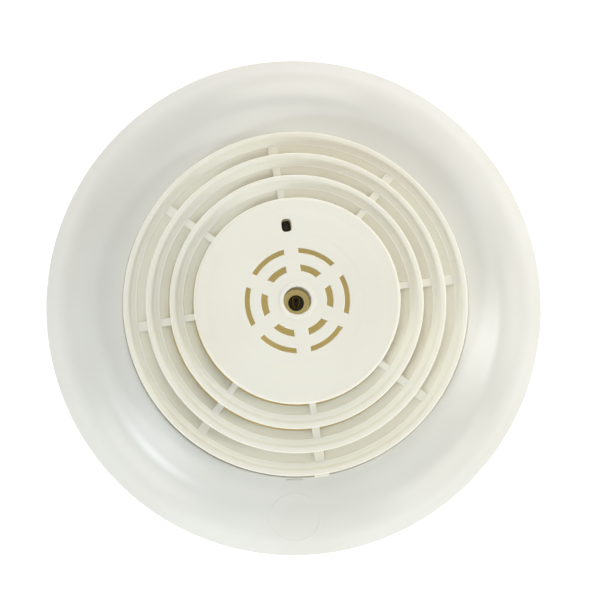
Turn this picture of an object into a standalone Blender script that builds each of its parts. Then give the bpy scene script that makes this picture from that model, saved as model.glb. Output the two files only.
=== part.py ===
"""Heat detector: a flanged mounting base and a plug-in sensing head, as separate named parts.

Run it with blender --background --python part.py, or from the Text editor.
Units are metres. The detector lies on its back: the origin is the centre of the mounting face
and +Z runs from the ceiling towards the sensing end. Bearings are degrees clockwise from +Y,
as they are read by someone who looks at the sensing end.
"""

import math

import bmesh
import bpy
from mathutils import Matrix, Vector

GAP = 0.0003  # clearance between parts that touch on the real object
SEGMENTS = 48  # facets around a large turned part
SMALL_SEGMENTS = 16  # facets around a screw or a post
ARC_STEP = 15  # degrees between the points of a cutter's arc

# Mounting base
FLANGE_RADIUS = 0.0775
RIM_HEIGHT = 0.0016
MOUTH_RADIUS = 0.0515
MOUTH_HEIGHT = 0.0195
DOME_RISE = 0.0032  # how far the flange bows above a straight cone
BASE_WALL = 0.0022
FLOOR = 0.0025
WIRE_HOLE_RADIUS = 0.014
SLOT_WIDTH = 0.0045
BOX_SLOTS = ((0, 0.0370, 0.0436), (90, 0.0265, 0.0335))  # bearing, inner end, outer end
SEAT_MARGIN = 0.0012  # how far the raised seat of a screw's head reaches past its slot
SEAT_HEIGHT = 0.0004
MARK_WIDTH = 0.0044
MARK_BEARING = 180.4

# Bayonet
BAYONETS = 3
LUG_BEARING = 30
LUG_LENGTH, LUG_HEIGHT, LUG_REACH = 0.0075, 0.0016, 0.0506
LUG_TOP = 0.0060
LEDGE_LENGTH, LEDGE_BORE = 0.0150, 0.0475
LEDGE_TURN = 17  # degrees from a lug to the ledge that it turns under
TWIST = 9  # degrees from dropped in to locked, which brings the two marks together

# Terminals and contacts
TERMINALS = 4
CONTACT_RADIUS = 0.033
CONTACT_BEARING = 67
SCREW_TURN = 24  # degrees from a contact back to its terminal screw
BLOCK_TOP = 0.0045
SCREW_HOLE_RADIUS = 0.0018
STRIP, STRIP_HALF = 0.0008, 0.0036  # thickness, half the width
CLAMP_SIDE, CLAMP_THICKNESS = 0.0070, 0.0010
WIPER_HEIGHT = 0.0073

# Head, from the outer tier inwards
TIER_RADII = (0.0504, 0.0431, 0.0358)
TIER_CRESTS = (0.0290, 0.0360, 0.0430)
CREASE, BAND, LIP = 0.0023, 0.0039, 0.0061  # distances inwards from a tier's outer wall
CREASE_DROP, BAND_DROP, LIP_DROP = 0.0008, 0.0013, 0.0034  # distances below its crest
PANEL = 0.0011
COVER_WALL = 0.0012
SKIRT_WALL = 0.0020
SKIRT_BOTTOM = 0.0109
RIBS = 8
RIB_BEARING = -8.7
RIB_WIDTHS = (0.00285, 0.0022, 0.00185)
DISC_RADIUS, DISC_TOP, DISC_THICKNESS = 0.0286, 0.0500, 0.0020
BORE_RADIUS, BORE_LIP, BORE_WALL = 0.00383, 0.0004, 0.0012
SPOKES, SPOKE_WIDTH, SPOKE_BEARING = 6, 0.0040, -8.3
VENT_ROWS = ((0.0131, 0.0146), (0.0083, 0.0100))
WINDOW_BEARING, WINDOW_RADIUS = -8.3, 0.0210
WINDOW_WIDTH, WINDOW_LENGTH = 0.0027, 0.0036
KEY_BEARING = MARK_BEARING - TWIST
HOOK_BEARING = 90

# Inside the head
REAR_RADIUS, REAR_TOP, REAR_PLATE = 0.0480, 0.0140, 0.0020
COLLAR_RADIUS, COLLAR_WALL, COLLAR_BOTTOM = 0.0470, 0.0018, 0.0036
SEAL_INNER, SEAL_OUTER = 0.0474, 0.0510
SEAL_BOTTOM, SEAL_TOP = 0.0083, 0.0105
BOARD_RADIUS, BOARD_BOTTOM, BOARD_THICKNESS = 0.0400, 0.0170, 0.0016
BOARD_TOP = BOARD_BOTTOM + BOARD_THICKNESS
POST_RADIUS, POSTS_AT, POST_BEARING = 0.0030, 0.0360, 0
CARRIER_RADIUS, CARRIER_WALL = 0.0418, 0.0014
SHELF_TOP, PLATEAU_TOP, PLATEAU_RADIUS = 0.0220, 0.0300, 0.0270
SENSOR_HOLE_RADIUS = 0.00233
BEAD_RADIUS = 0.00075
BEAD_CENTRE = (0.0, 0.00085, 0.0290)
LEAD_RADIUS, LEAD_SPREAD = 0.0002, 0.0011
PIPE_GAP = 0.0004  # clearance between the light pipe and what it passes through
PIPE_TOP = 0.0465

PLASTIC_WHITE = (0.86, 0.86, 0.83)
PLASTIC_CREAM = (0.84, 0.82, 0.74)
STEEL = (0.62, 0.62, 0.60)
BRASS = (0.72, 0.56, 0.26)
COPPER = (0.70, 0.38, 0.20)
RUBBER = (0.05, 0.05, 0.05)
BLACK = (0.03, 0.03, 0.03)
BOARD_GREEN = (0.05, 0.22, 0.10)


def clear_scene():
    """Remove every object of the open scene."""
    for obj in list(bpy.data.objects):
        bpy.data.objects.remove(obj, do_unlink=True)


def new_collection(name):
    """Make a collection in the scene and return it."""
    collection = bpy.data.collections.new(name)
    bpy.context.scene.collection.children.link(collection)
    return collection


def material(name, colour, roughness, metallic):
    """A plain Principled material."""
    mat = bpy.data.materials.new(name)
    mat.use_nodes = True
    shader = mat.node_tree.nodes["Principled BSDF"]
    shader.inputs["Base Color"].default_value = (*colour, 1.0)
    shader.inputs["Roughness"].default_value = roughness
    shader.inputs["Metallic"].default_value = metallic
    mat.diffuse_color = (*colour, 1.0)
    return mat


def add_part(name, mesh, look, parent=None):
    """Put a mesh in the detector's collection as a named part; look is colour, roughness, metal."""
    obj = bpy.data.objects.new(name, mesh)
    mesh.materials.clear()
    mesh.materials.append(material(name, *look))
    bpy.data.collections["heat_detector"].objects.link(obj)
    obj.parent = parent
    return obj


def add_tool(name, mesh):
    """Put a mesh in the tools' collection, for a Boolean modifier to use."""
    obj = bpy.data.objects.new(name, mesh)
    bpy.data.collections["tools"].objects.link(obj)
    obj.hide_render = True
    obj.display_type = "WIRE"
    return obj


def profile_mesh(name, points, closed):
    """A mesh of the (radius, height) points in the XZ plane, for a Screw modifier."""
    count = len(points)
    edges = [(i, (i + 1) % count) for i in range(count if closed else count - 1)]
    mesh = bpy.data.meshes.new(name)
    mesh.from_pydata([(r, 0.0, z) for r, z in points], edges, [])
    return mesh


def turn(obj, segments=SEGMENTS):
    """Turn an object's profile about its Z axis."""
    screw = obj.modifiers.new("turn", "SCREW")
    screw.axis = "Z"
    screw.steps = screw.render_steps = segments
    screw.use_merge_vertices = True
    screw.merge_threshold = 0.00001
    screw.use_smooth_shade = True
    return obj


def combine(obj, tool, operation):
    """Cut a tool from an object, or join it on, with an exact Boolean."""
    boolean = obj.modifiers.new(tool.name, "BOOLEAN")
    boolean.operation = operation
    boolean.solver = "EXACT"
    boolean.object = tool


def on_bearing(bearing, radius=0.0, height=0.0):
    """The matrix of a frame whose local Y points outwards on a bearing, at a radius and height."""
    turned = Matrix.Rotation(math.radians(-bearing), 4, "Z")
    return turned @ Matrix.Translation((0.0, radius, height))


def add_box(bm, width, length, low, high, place):
    """Add a box to a bmesh: width across, length outwards, from height low to high."""
    size = Matrix.Diagonal((width, length, high - low, 1.0))
    lift = Matrix.Translation((0.0, 0.0, (low + high) / 2))
    bmesh.ops.create_cube(bm, size=1.0, matrix=place @ lift @ size)


def add_cylinder(bm, radius, low, high, place, segments=SMALL_SEGMENTS):
    """Add an upright cylinder to a bmesh, from height low to high."""
    lift = Matrix.Translation((0.0, 0.0, (low + high) / 2))
    bmesh.ops.create_cone(
        bm,
        cap_ends=True,
        segments=segments,
        radius1=radius,
        radius2=radius,
        depth=high - low,
        matrix=place @ lift,
    )


def finish_bmesh(bm, name):
    """Turn a bmesh into a mesh with its faces pointing out."""
    bmesh.ops.recalc_face_normals(bm, faces=bm.faces)
    mesh = bpy.data.meshes.new(name)
    bm.to_mesh(mesh)
    bm.free()
    return mesh


def flat_outline(name, points, low, high):
    """A closed mesh of a flat outline, extruded from height low to high."""
    curve = bpy.data.curves.new(name, "CURVE")
    curve.dimensions = "2D"
    curve.fill_mode = "BOTH"
    curve.extrude = (high - low) / 2
    spline = curve.splines.new("POLY")
    spline.points.add(len(points) - 1)
    for point, (x, y) in zip(spline.points, points):
        point.co = (x, y, 0.0, 1.0)
    spline.use_cyclic_u = True
    outline = bpy.data.objects.new(name, curve)
    bpy.context.scene.collection.objects.link(outline)
    outline.location.z = (low + high) / 2
    bpy.context.view_layer.update()
    return as_mesh(outline)


def as_mesh(curve_object):
    """Replace a curve object by a mesh in world space whose caps are welded on."""
    evaluated = curve_object.evaluated_get(bpy.context.evaluated_depsgraph_get())
    mesh = bpy.data.meshes.new_from_object(evaluated)
    mesh.transform(curve_object.matrix_world)
    name = curve_object.name
    bpy.data.objects.remove(curve_object)
    bm = bmesh.new()
    bm.from_mesh(mesh)
    bmesh.ops.remove_doubles(bm, verts=bm.verts, dist=0.000005)
    return finish_bmesh(bm, name)


def arc(radius, start, end, step=ARC_STEP):
    """Points of an arc about the origin, between two bearings in degrees."""
    count = max(2, math.ceil(abs(end - start) / step) + 1)
    bearings = [start + (end - start) * i / (count - 1) for i in range(count)]
    return [
        (radius * math.sin(math.radians(b)), radius * math.cos(math.radians(b))) for b in bearings
    ]


def join_meshes(name, meshes):
    """One mesh that holds several, each with its faces pointing out."""
    bm = bmesh.new()
    for mesh in meshes:
        bm.from_mesh(mesh)
        bpy.data.meshes.remove(mesh)
    return finish_bmesh(bm, name)


# Mounting base


def dome_arc(inset, count):
    """The flange's bowed surface from the mouth to the rim, moved inwards by inset."""
    run = FLANGE_RADIUS - MOUTH_RADIUS
    drop = MOUTH_HEIGHT - RIM_HEIGHT
    chord = math.hypot(run, drop)
    radius = chord**2 / (8 * DOME_RISE) + DOME_RISE / 2
    middle = Vector(((FLANGE_RADIUS + MOUTH_RADIUS) / 2, (MOUTH_HEIGHT + RIM_HEIGHT) / 2))
    outwards = Vector((drop, run)) / chord
    centre = middle - outwards * (radius - DOME_RISE)
    half = math.asin(chord / 2 / radius)
    lean = math.atan2(outwards.y, outwards.x)
    angles = [lean + half - 2 * half * i / (count - 1) for i in range(count)]
    reach = radius - inset
    return [(centre.x + reach * math.cos(a), centre.y + reach * math.sin(a)) for a in angles]


def base_section():
    """The base's section: the floor, the cup that takes the head and the flange around it."""
    cup_outer = MOUTH_RADIUS + BASE_WALL
    outside = dome_arc(0.0, 7)
    inside = [p for p in reversed(dome_arc(BASE_WALL, 7)) if p[0] > cup_outer + 0.001]
    rim = [(FLANGE_RADIUS, RIM_HEIGHT / 2), (FLANGE_RADIUS - 0.0004, 0.0)]
    underside = [(FLANGE_RADIUS - BASE_WALL, 0.0)] + [p for p in inside if p[1] > 0.0005]
    top_inside = (cup_outer, MOUTH_HEIGHT - BASE_WALL)
    floor = [(cup_outer, 0.0), (WIRE_HOLE_RADIUS, 0.0), (WIRE_HOLE_RADIUS, FLOOR)]
    cup = [(MOUTH_RADIUS, FLOOR), (MOUTH_RADIUS, MOUTH_HEIGHT - 0.0006)]
    return outside + rim + underside + [top_inside] + floor + cup


def bayonet_ledges():
    """Three ledges inside the cup that the head's lugs turn under."""
    low = LUG_TOP + GAP
    high = SEAL_BOTTOM - 0.0004
    half = math.degrees(LEDGE_LENGTH / 2 / MOUTH_RADIUS)
    parts = []
    for i in range(BAYONETS):
        middle = LUG_BEARING + LEDGE_TURN + i * 360 / BAYONETS
        wall_side = arc(MOUTH_RADIUS + BASE_WALL / 2, middle - half, middle + half, 6)
        bore_side = arc(LEDGE_BORE, middle + half, middle - half, 6)
        parts.append(flat_outline("ledge", wall_side + bore_side, low, high))
    return join_meshes("bayonet_ledges", parts)


def terminal_blocks():
    """The four blocks on the base's floor that carry the terminals, each with its contact pad."""
    bm = bmesh.new()
    for i in range(TERMINALS):
        screw = on_bearing(screw_bearing(i), CONTACT_RADIUS)
        add_box(bm, 0.0086, 0.0086, FLOOR - 0.0005, BLOCK_TOP, screw)
        pad = on_bearing(contact_bearing(i) + TWIST, CONTACT_RADIUS)
        add_box(bm, 0.0030, 0.0046, FLOOR - 0.0005, BLOCK_TOP, pad)
    return finish_bmesh(bm, "terminal_blocks")


def screw_seats():
    """Raised pads around the slots, which the heads of the ceiling box's screws press on."""
    bm = bmesh.new()
    for bearing, inner, outer in BOX_SLOTS:
        for side in (0, 180):
            middle = on_bearing(bearing + side, (inner + outer) / 2)
            width, length = SLOT_WIDTH + 2 * SEAT_MARGIN, outer - inner + 2 * SEAT_MARGIN
            add_box(bm, width, length, FLOOR - 0.0005, FLOOR + SEAT_HEIGHT, middle)
    return finish_bmesh(bm, "screw_seats")


def floor_cutters():
    """Slots for the ceiling box's screws, and the pilot holes of the terminal screws."""
    bm = bmesh.new()
    for bearing, inner, outer in BOX_SLOTS:
        for side in (0, 180):
            middle = on_bearing(bearing + side, (inner + outer) / 2)
            add_box(bm, SLOT_WIDTH, outer - inner, -0.001, FLOOR + SEAT_HEIGHT + 0.001, middle)
    for i in range(TERMINALS):
        pilot = on_bearing(screw_bearing(i), CONTACT_RADIUS)
        add_cylinder(bm, SCREW_HOLE_RADIUS, 0.0008, BLOCK_TOP + 0.001, pilot)
    return finish_bmesh(bm, "floor_cutters")


def add_base():
    """The moulded base with its flange."""
    mesh = profile_mesh("base_body", base_section(), closed=True)
    base = turn(add_part("base_body", mesh, (PLASTIC_WHITE, 0.35, 0.0)))
    combine(base, add_tool("bayonet_ledges", bayonet_ledges()), "UNION")
    combine(base, add_tool("terminal_blocks", terminal_blocks()), "UNION")
    combine(base, add_tool("screw_seats", screw_seats()), "UNION")
    bm = bmesh.new()
    mark = on_bearing(MARK_BEARING, MOUTH_RADIUS + 0.0012)
    add_box(bm, MARK_WIDTH, 0.0008, MOUTH_HEIGHT - 0.0015, MOUTH_HEIGHT + 0.0003, mark)
    combine(base, add_tool("base_mark", finish_bmesh(bm, "base_mark")), "UNION")
    combine(base, add_tool("floor_cutters", floor_cutters()), "DIFFERENCE")
    return base


# Terminals


def contact_bearing(i):
    """Where the head's contact i stands when the head has been dropped in."""
    return CONTACT_BEARING + i * 360 / TERMINALS


def screw_bearing(i):
    """Where terminal i has its screw."""
    return contact_bearing(i) - SCREW_TURN


def terminal_strip(i):
    """A curved strip with a hole for the screw, whose far end is humped under the contact."""
    bottom = BLOCK_TOP + GAP
    start = screw_bearing(i) - math.degrees(CLAMP_SIDE / 2 / CONTACT_RADIUS)
    end = contact_bearing(i) + TWIST + 6
    outer = arc(CONTACT_RADIUS + STRIP_HALF, start, end, 9)
    inner = arc(CONTACT_RADIUS - STRIP_HALF, end, start, 9)
    return flat_outline("strip", outer + inner, bottom, bottom + STRIP)


def add_terminals(parent):
    """Four terminal strips, each with a hump that the head's contact wipes over."""
    bottom = BLOCK_TOP + GAP
    for i in range(TERMINALS):
        name = f"base_terminal_{i + 1}"
        strip = add_part(name, terminal_strip(i), (BRASS, 0.35, 1.0), parent)
        bm = bmesh.new()
        hump = on_bearing(contact_bearing(i) + TWIST, CONTACT_RADIUS, bottom + STRIP / 2)
        sideways = hump @ Matrix.Rotation(math.pi / 2, 4, "X")
        add_cylinder(bm, WIPER_HEIGHT - GAP - bottom - STRIP / 2, -0.0017, 0.0017, sideways, 12)
        combine(strip, add_tool(f"{name}_hump", finish_bmesh(bm, "hump")), "UNION")
        bm = bmesh.new()
        under = on_bearing(contact_bearing(i) + TWIST, CONTACT_RADIUS)
        add_box(bm, 0.0060, 0.0060, 0.0, bottom, under)
        screw = on_bearing(screw_bearing(i), CONTACT_RADIUS)
        add_cylinder(bm, SCREW_HOLE_RADIUS, bottom - 0.001, bottom + STRIP + 0.001, screw, 12)
        combine(strip, add_tool(f"{name}_cuts", finish_bmesh(bm, "cuts")), "DIFFERENCE")


def add_clamps(parent):
    """Four square plates that the terminal screws press the wires under."""
    low = BLOCK_TOP + GAP + STRIP + GAP
    for i in range(TERMINALS):
        place = on_bearing(screw_bearing(i), CONTACT_RADIUS)
        bm = bmesh.new()
        add_box(bm, CLAMP_SIDE, CLAMP_SIDE, low, low + CLAMP_THICKNESS, place)
        plate = add_part(f"wire_clamp_{i + 1}", finish_bmesh(bm, "clamp"), (STEEL, 0.4, 1.0), parent)
        bm = bmesh.new()
        add_cylinder(bm, SCREW_HOLE_RADIUS, low - 0.001, low + CLAMP_THICKNESS + 0.001, place, 12)
        tool = add_tool(f"wire_clamp_{i + 1}_hole", finish_bmesh(bm, "hole"))
        combine(plate, tool, "DIFFERENCE")


def screw_mesh(name, head_radius, head_height, shank_radius, shank_length, slot):
    """A pan-head screw seen along Z, its bearing face at the origin, with a slot across its head."""
    profile = [
        (0.0, head_height),
        (head_radius * 0.75, head_height),
        (head_radius, head_height * 0.6),
        (head_radius, 0.0),
        (shank_radius, 0.0),
        (shank_radius, -shank_length * 0.85),
        (shank_radius * 0.5, -shank_length),
        (0.0, -shank_length),
    ]
    mesh = profile_mesh(name, profile, closed=False)
    bm = bmesh.new()
    place = Matrix.Identity(4)
    add_box(bm, slot, head_radius * 2.4, head_height * 0.45, head_height + 0.001, place)
    return mesh, finish_bmesh(bm, f"{name}_slot")


def add_screw(name, place, sizes, look, parent):
    """One slotted screw, standing along its frame's Z."""
    mesh, slot = screw_mesh(name, *sizes)
    screw = turn(add_part(name, mesh, look, parent), SMALL_SEGMENTS)
    cutter = add_tool(f"{name}_slot", slot)
    screw.matrix_world = place
    cutter.matrix_world = place
    combine(screw, cutter, "DIFFERENCE")


def add_terminal_screws(parent):
    """Four terminal screws through the clamps and strips into the floor's blocks."""
    seat = BLOCK_TOP + GAP + STRIP + GAP + CLAMP_THICKNESS + GAP
    for i in range(TERMINALS):
        place = on_bearing(screw_bearing(i), CONTACT_RADIUS, seat)
        sizes = (0.0030, 0.0018, 0.0014, seat - 0.0012, 0.0008)
        add_screw(f"terminal_screw_{i + 1}", place, sizes, (STEEL, 0.3, 1.0), parent)


# Seal


def add_seal(parent):
    """The draught seal around the head's collar, between the cover's skirt and the ledges."""
    section = [
        (SEAL_OUTER, SEAL_TOP),
        (SEAL_OUTER, SEAL_BOTTOM),
        (SEAL_INNER, SEAL_BOTTOM),
        (SEAL_INNER, SEAL_TOP),
    ]
    mesh = profile_mesh("draught_seal", section, closed=True)
    return turn(add_part("draught_seal", mesh, (RUBBER, 0.8, 0.0), parent))


# Front cover


def tier_top(tier):
    """The crest of a tier, from its band over the crest to the outer wall."""
    outer, crest = TIER_RADII[tier], TIER_CRESTS[tier]
    return [
        (outer - BAND, crest - BAND_DROP),
        (outer - CREASE, crest - CREASE_DROP),
        (outer - 0.0012, crest),
        (outer - 0.0004, crest - 0.0003),
        (outer, crest - 0.0012),
    ]


def skirt_section():
    """The skirt, the outer tier and the second tier, whose wall rises from the outer panel."""
    first, second = TIER_RADII[:2]
    root = TIER_CRESTS[0] - LIP_DROP
    lip = TIER_CRESTS[1] - LIP_DROP
    over = [(second - LIP, lip)] + tier_top(1) + [(second, root)] + tier_top(0)
    skirt = [(first, SKIRT_BOTTOM), (first - SKIRT_WALL, SKIRT_BOTTOM)]
    under_first = [
        (first - SKIRT_WALL, TIER_CRESTS[0] - BAND_DROP - SKIRT_WALL),
        (first - BAND, TIER_CRESTS[0] - BAND_DROP - PANEL - 0.0002),
        (second, root - PANEL),
        (second - COVER_WALL, root - PANEL),
    ]
    under_second = [
        (second - COVER_WALL, TIER_CRESTS[1] - BAND_DROP - PANEL),
        (second - BAND, TIER_CRESTS[1] - BAND_DROP - PANEL),
        (second - LIP, lip - PANEL),
    ]
    return over + skirt + under_first + under_second


def third_section():
    """The third tier, a ring that only ribs hold."""
    outer, crest = TIER_RADII[2], TIER_CRESTS[2]
    bottom = TIER_CRESTS[1] - LIP_DROP - PANEL - 0.0005
    lip = crest - LIP_DROP
    under = [
        (outer - COVER_WALL, bottom),
        (outer - COVER_WALL, crest - BAND_DROP - PANEL),
        (outer - BAND, crest - BAND_DROP - PANEL),
        (outer - LIP, lip - PANEL),
    ]
    return [(outer - LIP, lip)] + tier_top(2) + [(outer, bottom)] + under


def disc_section():
    """The centre disc with its rim and the bore that leads to the sensor."""
    rim_bottom = TIER_CRESTS[2] - LIP_DROP - PANEL - 0.0005
    bore_outer = BORE_RADIUS + BORE_WALL
    return [
        (BORE_RADIUS + BORE_WALL / 2, DISC_TOP + BORE_LIP),
        (bore_outer, DISC_TOP),
        (DISC_RADIUS - 0.0014, DISC_TOP),
        (DISC_RADIUS - 0.0004, DISC_TOP - 0.0004),
        (DISC_RADIUS, DISC_TOP - 0.0014),
        (DISC_RADIUS, rim_bottom),
        (DISC_RADIUS - COVER_WALL, rim_bottom),
        (DISC_RADIUS - COVER_WALL, DISC_TOP - DISC_THICKNESS),
        (bore_outer, DISC_TOP - DISC_THICKNESS),
        (bore_outer, PLATEAU_TOP + GAP),
        (BORE_RADIUS, PLATEAU_TOP + GAP),
        (BORE_RADIUS, DISC_TOP + BORE_LIP / 2),
    ]


def cover_ribs():
    """Eight radial ribs on each tier, which tie it to the next tier's wall."""
    walls = (*TIER_RADII[1:], DISC_RADIUS)
    bm = bmesh.new()
    for tier, wall in enumerate(walls):
        outer = TIER_RADII[tier] - BAND + 0.0006
        inner = wall - COVER_WALL / 2
        high = TIER_CRESTS[tier] - BAND_DROP
        low = TIER_CRESTS[tier] - LIP_DROP - PANEL + 0.0002
        for i in range(RIBS):
            place = on_bearing(RIB_BEARING + i * 360 / RIBS, (outer + inner) / 2)
            add_box(bm, RIB_WIDTHS[tier], outer - inner, low, high, place)
    return finish_bmesh(bm, "cover_ribs")


def vent_outline(inner, outer, bearing):
    """A vent between two parallel-sided spokes: two arcs whose ends keep to the spokes' sides."""
    half = SPOKE_WIDTH / 2
    step = 360 / SPOKES
    outer_in = math.degrees(math.asin(half / outer))
    inner_in = math.degrees(math.asin(half / inner))
    outside = arc(outer, bearing + outer_in, bearing + step - outer_in, 11)
    inside = arc(inner, bearing + step - inner_in, bearing + inner_in, 11)
    return outside + inside


def disc_cutters():
    """The vents of the centre disc and the window of the indicator."""
    low, high = DISC_TOP - DISC_THICKNESS - 0.001, DISC_TOP + 0.001
    meshes = []
    for inner, outer in VENT_ROWS:
        for i in range(SPOKES):
            bearing = SPOKE_BEARING + i * 360 / SPOKES
            meshes.append(flat_outline("vent", vent_outline(inner, outer, bearing), low, high))
    bm = bmesh.new()
    window = on_bearing(WINDOW_BEARING, WINDOW_RADIUS)
    add_box(bm, WINDOW_WIDTH, WINDOW_LENGTH, low, high, window)
    meshes.append(finish_bmesh(bm, "window"))
    return join_meshes("disc_cutters", meshes)


def cover_extras():
    """The hooks that clip over the rear housing, and the key that marks the head's turn."""
    bm = bmesh.new()
    inner = TIER_RADII[0] - SKIRT_WALL
    for i in range(BAYONETS):
        place = on_bearing(HOOK_BEARING + i * 360 / BAYONETS, inner)
        add_box(bm, 0.0080, 0.0018, SKIRT_BOTTOM, SKIRT_BOTTOM + 0.0008, place)
    key = on_bearing(KEY_BEARING, TIER_RADII[0])
    top = TIER_CRESTS[0] - 0.0010
    add_box(bm, MARK_WIDTH, 0.0014, top - 0.0060, top, key)
    return finish_bmesh(bm, "cover_extras")


def add_cover(parent):
    """The front cover: skirt, three louvre tiers, centre disc and sensor bore in one moulding."""
    mesh = profile_mesh("front_cover", skirt_section(), closed=True)
    cover = turn(add_part("front_cover", mesh, (PLASTIC_CREAM, 0.45, 0.0), parent))
    rings = (("third_tier", third_section()), ("centre_disc", disc_section()))
    ribs = add_tool("cover_ribs", cover_ribs())
    for name, section in rings:
        ring = turn(add_tool(name, profile_mesh(name, section, closed=True)))
        combine(cover, ring, "UNION")
    combine(cover, ribs, "UNION")
    combine(cover, add_tool("cover_extras", cover_extras()), "UNION")
    combine(cover, add_tool("disc_cutters", disc_cutters()), "DIFFERENCE")


# Sensor carrier, light pipe and thermistor


def carrier_section():
    """An inverted bowl: a wall around the board, a shelf, a cone and a plateau with a hole."""
    wall = CARRIER_WALL
    bottom = REAR_TOP + GAP
    cone_foot = PLATEAU_RADIUS + 0.011
    return [
        (SENSOR_HOLE_RADIUS, PLATEAU_TOP),
        (PLATEAU_RADIUS, PLATEAU_TOP),
        (cone_foot, SHELF_TOP),
        (CARRIER_RADIUS, SHELF_TOP),
        (CARRIER_RADIUS, bottom),
        (CARRIER_RADIUS - 0.0012, bottom),
        (CARRIER_RADIUS - 0.0012, SHELF_TOP - wall),
        (cone_foot - wall / 2, SHELF_TOP - wall),
        (PLATEAU_RADIUS - wall / 2, PLATEAU_TOP - wall),
        (SENSOR_HOLE_RADIUS, PLATEAU_TOP - wall),
    ]


def add_carrier(parent):
    """The inner cover that carries air past the sensor and keeps it off the board."""
    mesh = profile_mesh("sensor_carrier", carrier_section(), closed=True)
    carrier = turn(add_part("sensor_carrier", mesh, (PLASTIC_CREAM, 0.5, 0.0), parent), 48)
    bm = bmesh.new()
    place = on_bearing(WINDOW_BEARING, WINDOW_RADIUS)
    width, length = WINDOW_WIDTH + 2 * PIPE_GAP, WINDOW_LENGTH + 2 * PIPE_GAP
    add_box(bm, width, length, PLATEAU_TOP - 0.003, PLATEAU_TOP + 0.001, place)
    combine(carrier, add_tool("pipe_hole", finish_bmesh(bm, "pipe_hole")), "DIFFERENCE")


def add_light_pipe(parent):
    """The rod that carries the indicator's light up to the window."""
    place = on_bearing(WINDOW_BEARING, WINDOW_RADIUS)
    width, length = WINDOW_WIDTH - PIPE_GAP / 2, WINDOW_LENGTH - PIPE_GAP / 2
    bm = bmesh.new()
    add_box(bm, width, length, BOARD_TOP + 0.0034, PIPE_TOP, place)
    add_part("light_pipe", finish_bmesh(bm, "light_pipe"), (BLACK, 0.15, 0.0), parent)


def add_thermistor(parent):
    """The sensing bead above the board, with its two leads."""
    bm = bmesh.new()
    centre = Matrix.Translation(BEAD_CENTRE)
    bmesh.ops.create_uvsphere(bm, u_segments=12, v_segments=8, radius=BEAD_RADIUS, matrix=centre)
    add_part("thermistor_bead", finish_bmesh(bm, "bead"), (BLACK, 0.2, 0.0), parent)
    x, y, z = BEAD_CENTRE
    for number, side in ((1, -1), (2, 1)):
        route = (
            (side * LEAD_RADIUS * 1.8, y - BEAD_RADIUS - GAP - LEAD_RADIUS, z),
            (side * LEAD_SPREAD * 0.7, y - BEAD_RADIUS - 0.0009, z - 0.0008),
            (side * LEAD_SPREAD, -0.0004, z - 0.0040),
            (side * LEAD_SPREAD, 0.0, BOARD_TOP + GAP),
        )
        add_wire(f"thermistor_lead_{number}", route, LEAD_RADIUS, (COPPER, 0.3, 1.0), parent)


def add_wire(name, route, radius, look, parent):
    """A wire along straight runs, as a closed mesh."""
    curve = bpy.data.curves.new(name, "CURVE")
    curve.dimensions = "3D"
    curve.bevel_depth = radius
    curve.bevel_resolution = 2
    curve.use_fill_caps = True
    spline = curve.splines.new("POLY")
    spline.points.add(len(route) - 1)
    for point, place in zip(spline.points, route):
        point.co = (*place, 1.0)
    wire = bpy.data.objects.new(f"{name}_path", curve)
    bpy.context.scene.collection.objects.link(wire)
    bpy.context.view_layer.update()
    add_part(name, as_mesh(wire), look, parent)


# Circuit board


def post_place(i, height=0.0):
    """Where post i of the rear housing holds the board."""
    return on_bearing(POST_BEARING + i * 360 / BAYONETS, POSTS_AT, height)


def add_board(parent):
    """The round circuit board with holes for its screws."""
    bm = bmesh.new()
    add_cylinder(bm, BOARD_RADIUS, BOARD_BOTTOM, BOARD_TOP, Matrix.Identity(4), 48)
    board = add_part("circuit_board", finish_bmesh(bm, "board"), (BOARD_GREEN, 0.5, 0.0), parent)
    bm = bmesh.new()
    for i in range(BAYONETS):
        add_cylinder(bm, 0.0016, BOARD_BOTTOM - 0.001, BOARD_TOP + 0.001, post_place(i), 12)
    combine(board, add_tool("board_holes", finish_bmesh(bm, "board_holes")), "DIFFERENCE")
    for i in range(BAYONETS):
        sizes = (0.0026, 0.0015, 0.0011, 0.0038, 0.0007)
        place = post_place(i, BOARD_TOP + GAP)
        add_screw(f"board_screw_{i + 1}", place, sizes, (STEEL, 0.3, 1.0), parent)


def add_block(name, centre, size, colour, parent):
    """A rectangular component standing on the board."""
    low = BOARD_TOP + GAP
    bm = bmesh.new()
    place = Matrix.Translation((*centre, 0.0))
    add_box(bm, size[0], size[1], low, low + size[2], place)
    add_part(name, finish_bmesh(bm, name), (colour, 0.5, 0.0), parent)


def add_can(name, centre, radius, height, colour, parent):
    """A cylindrical component standing on the board."""
    low = BOARD_TOP + GAP
    bm = bmesh.new()
    add_cylinder(bm, radius, low, low + height, Matrix.Translation((*centre, 0.0)))
    add_part(name, finish_bmesh(bm, name), (colour, 0.4, 0.0), parent)


def add_components(parent):
    """What the board needs to work: supply, controller, alarm switch and indicator."""
    add_can("smoothing_capacitor", (-0.013, -0.010), 0.0032, 0.0070, (0.04, 0.05, 0.09), parent)
    add_block("controller_ic", (0.013, -0.004), (0.0070, 0.0070, 0.0012), BLACK, parent)
    add_block("bridge_rectifier", (0.002, -0.018), (0.0065, 0.0050, 0.0025), BLACK, parent)
    add_block("alarm_transistor", (-0.015, 0.006), (0.0065, 0.0035, 0.0016), BLACK, parent)
    add_block("load_resistor", (0.014, 0.010), (0.0064, 0.0032, 0.0012), (0.3, 0.3, 0.3), parent)
    x, y, _ = on_bearing(WINDOW_BEARING, WINDOW_RADIUS).translation
    add_can("status_led", (x, y), 0.0015, 0.0026, (0.5, 0.03, 0.02), parent)


# Rear housing and contacts


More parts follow.
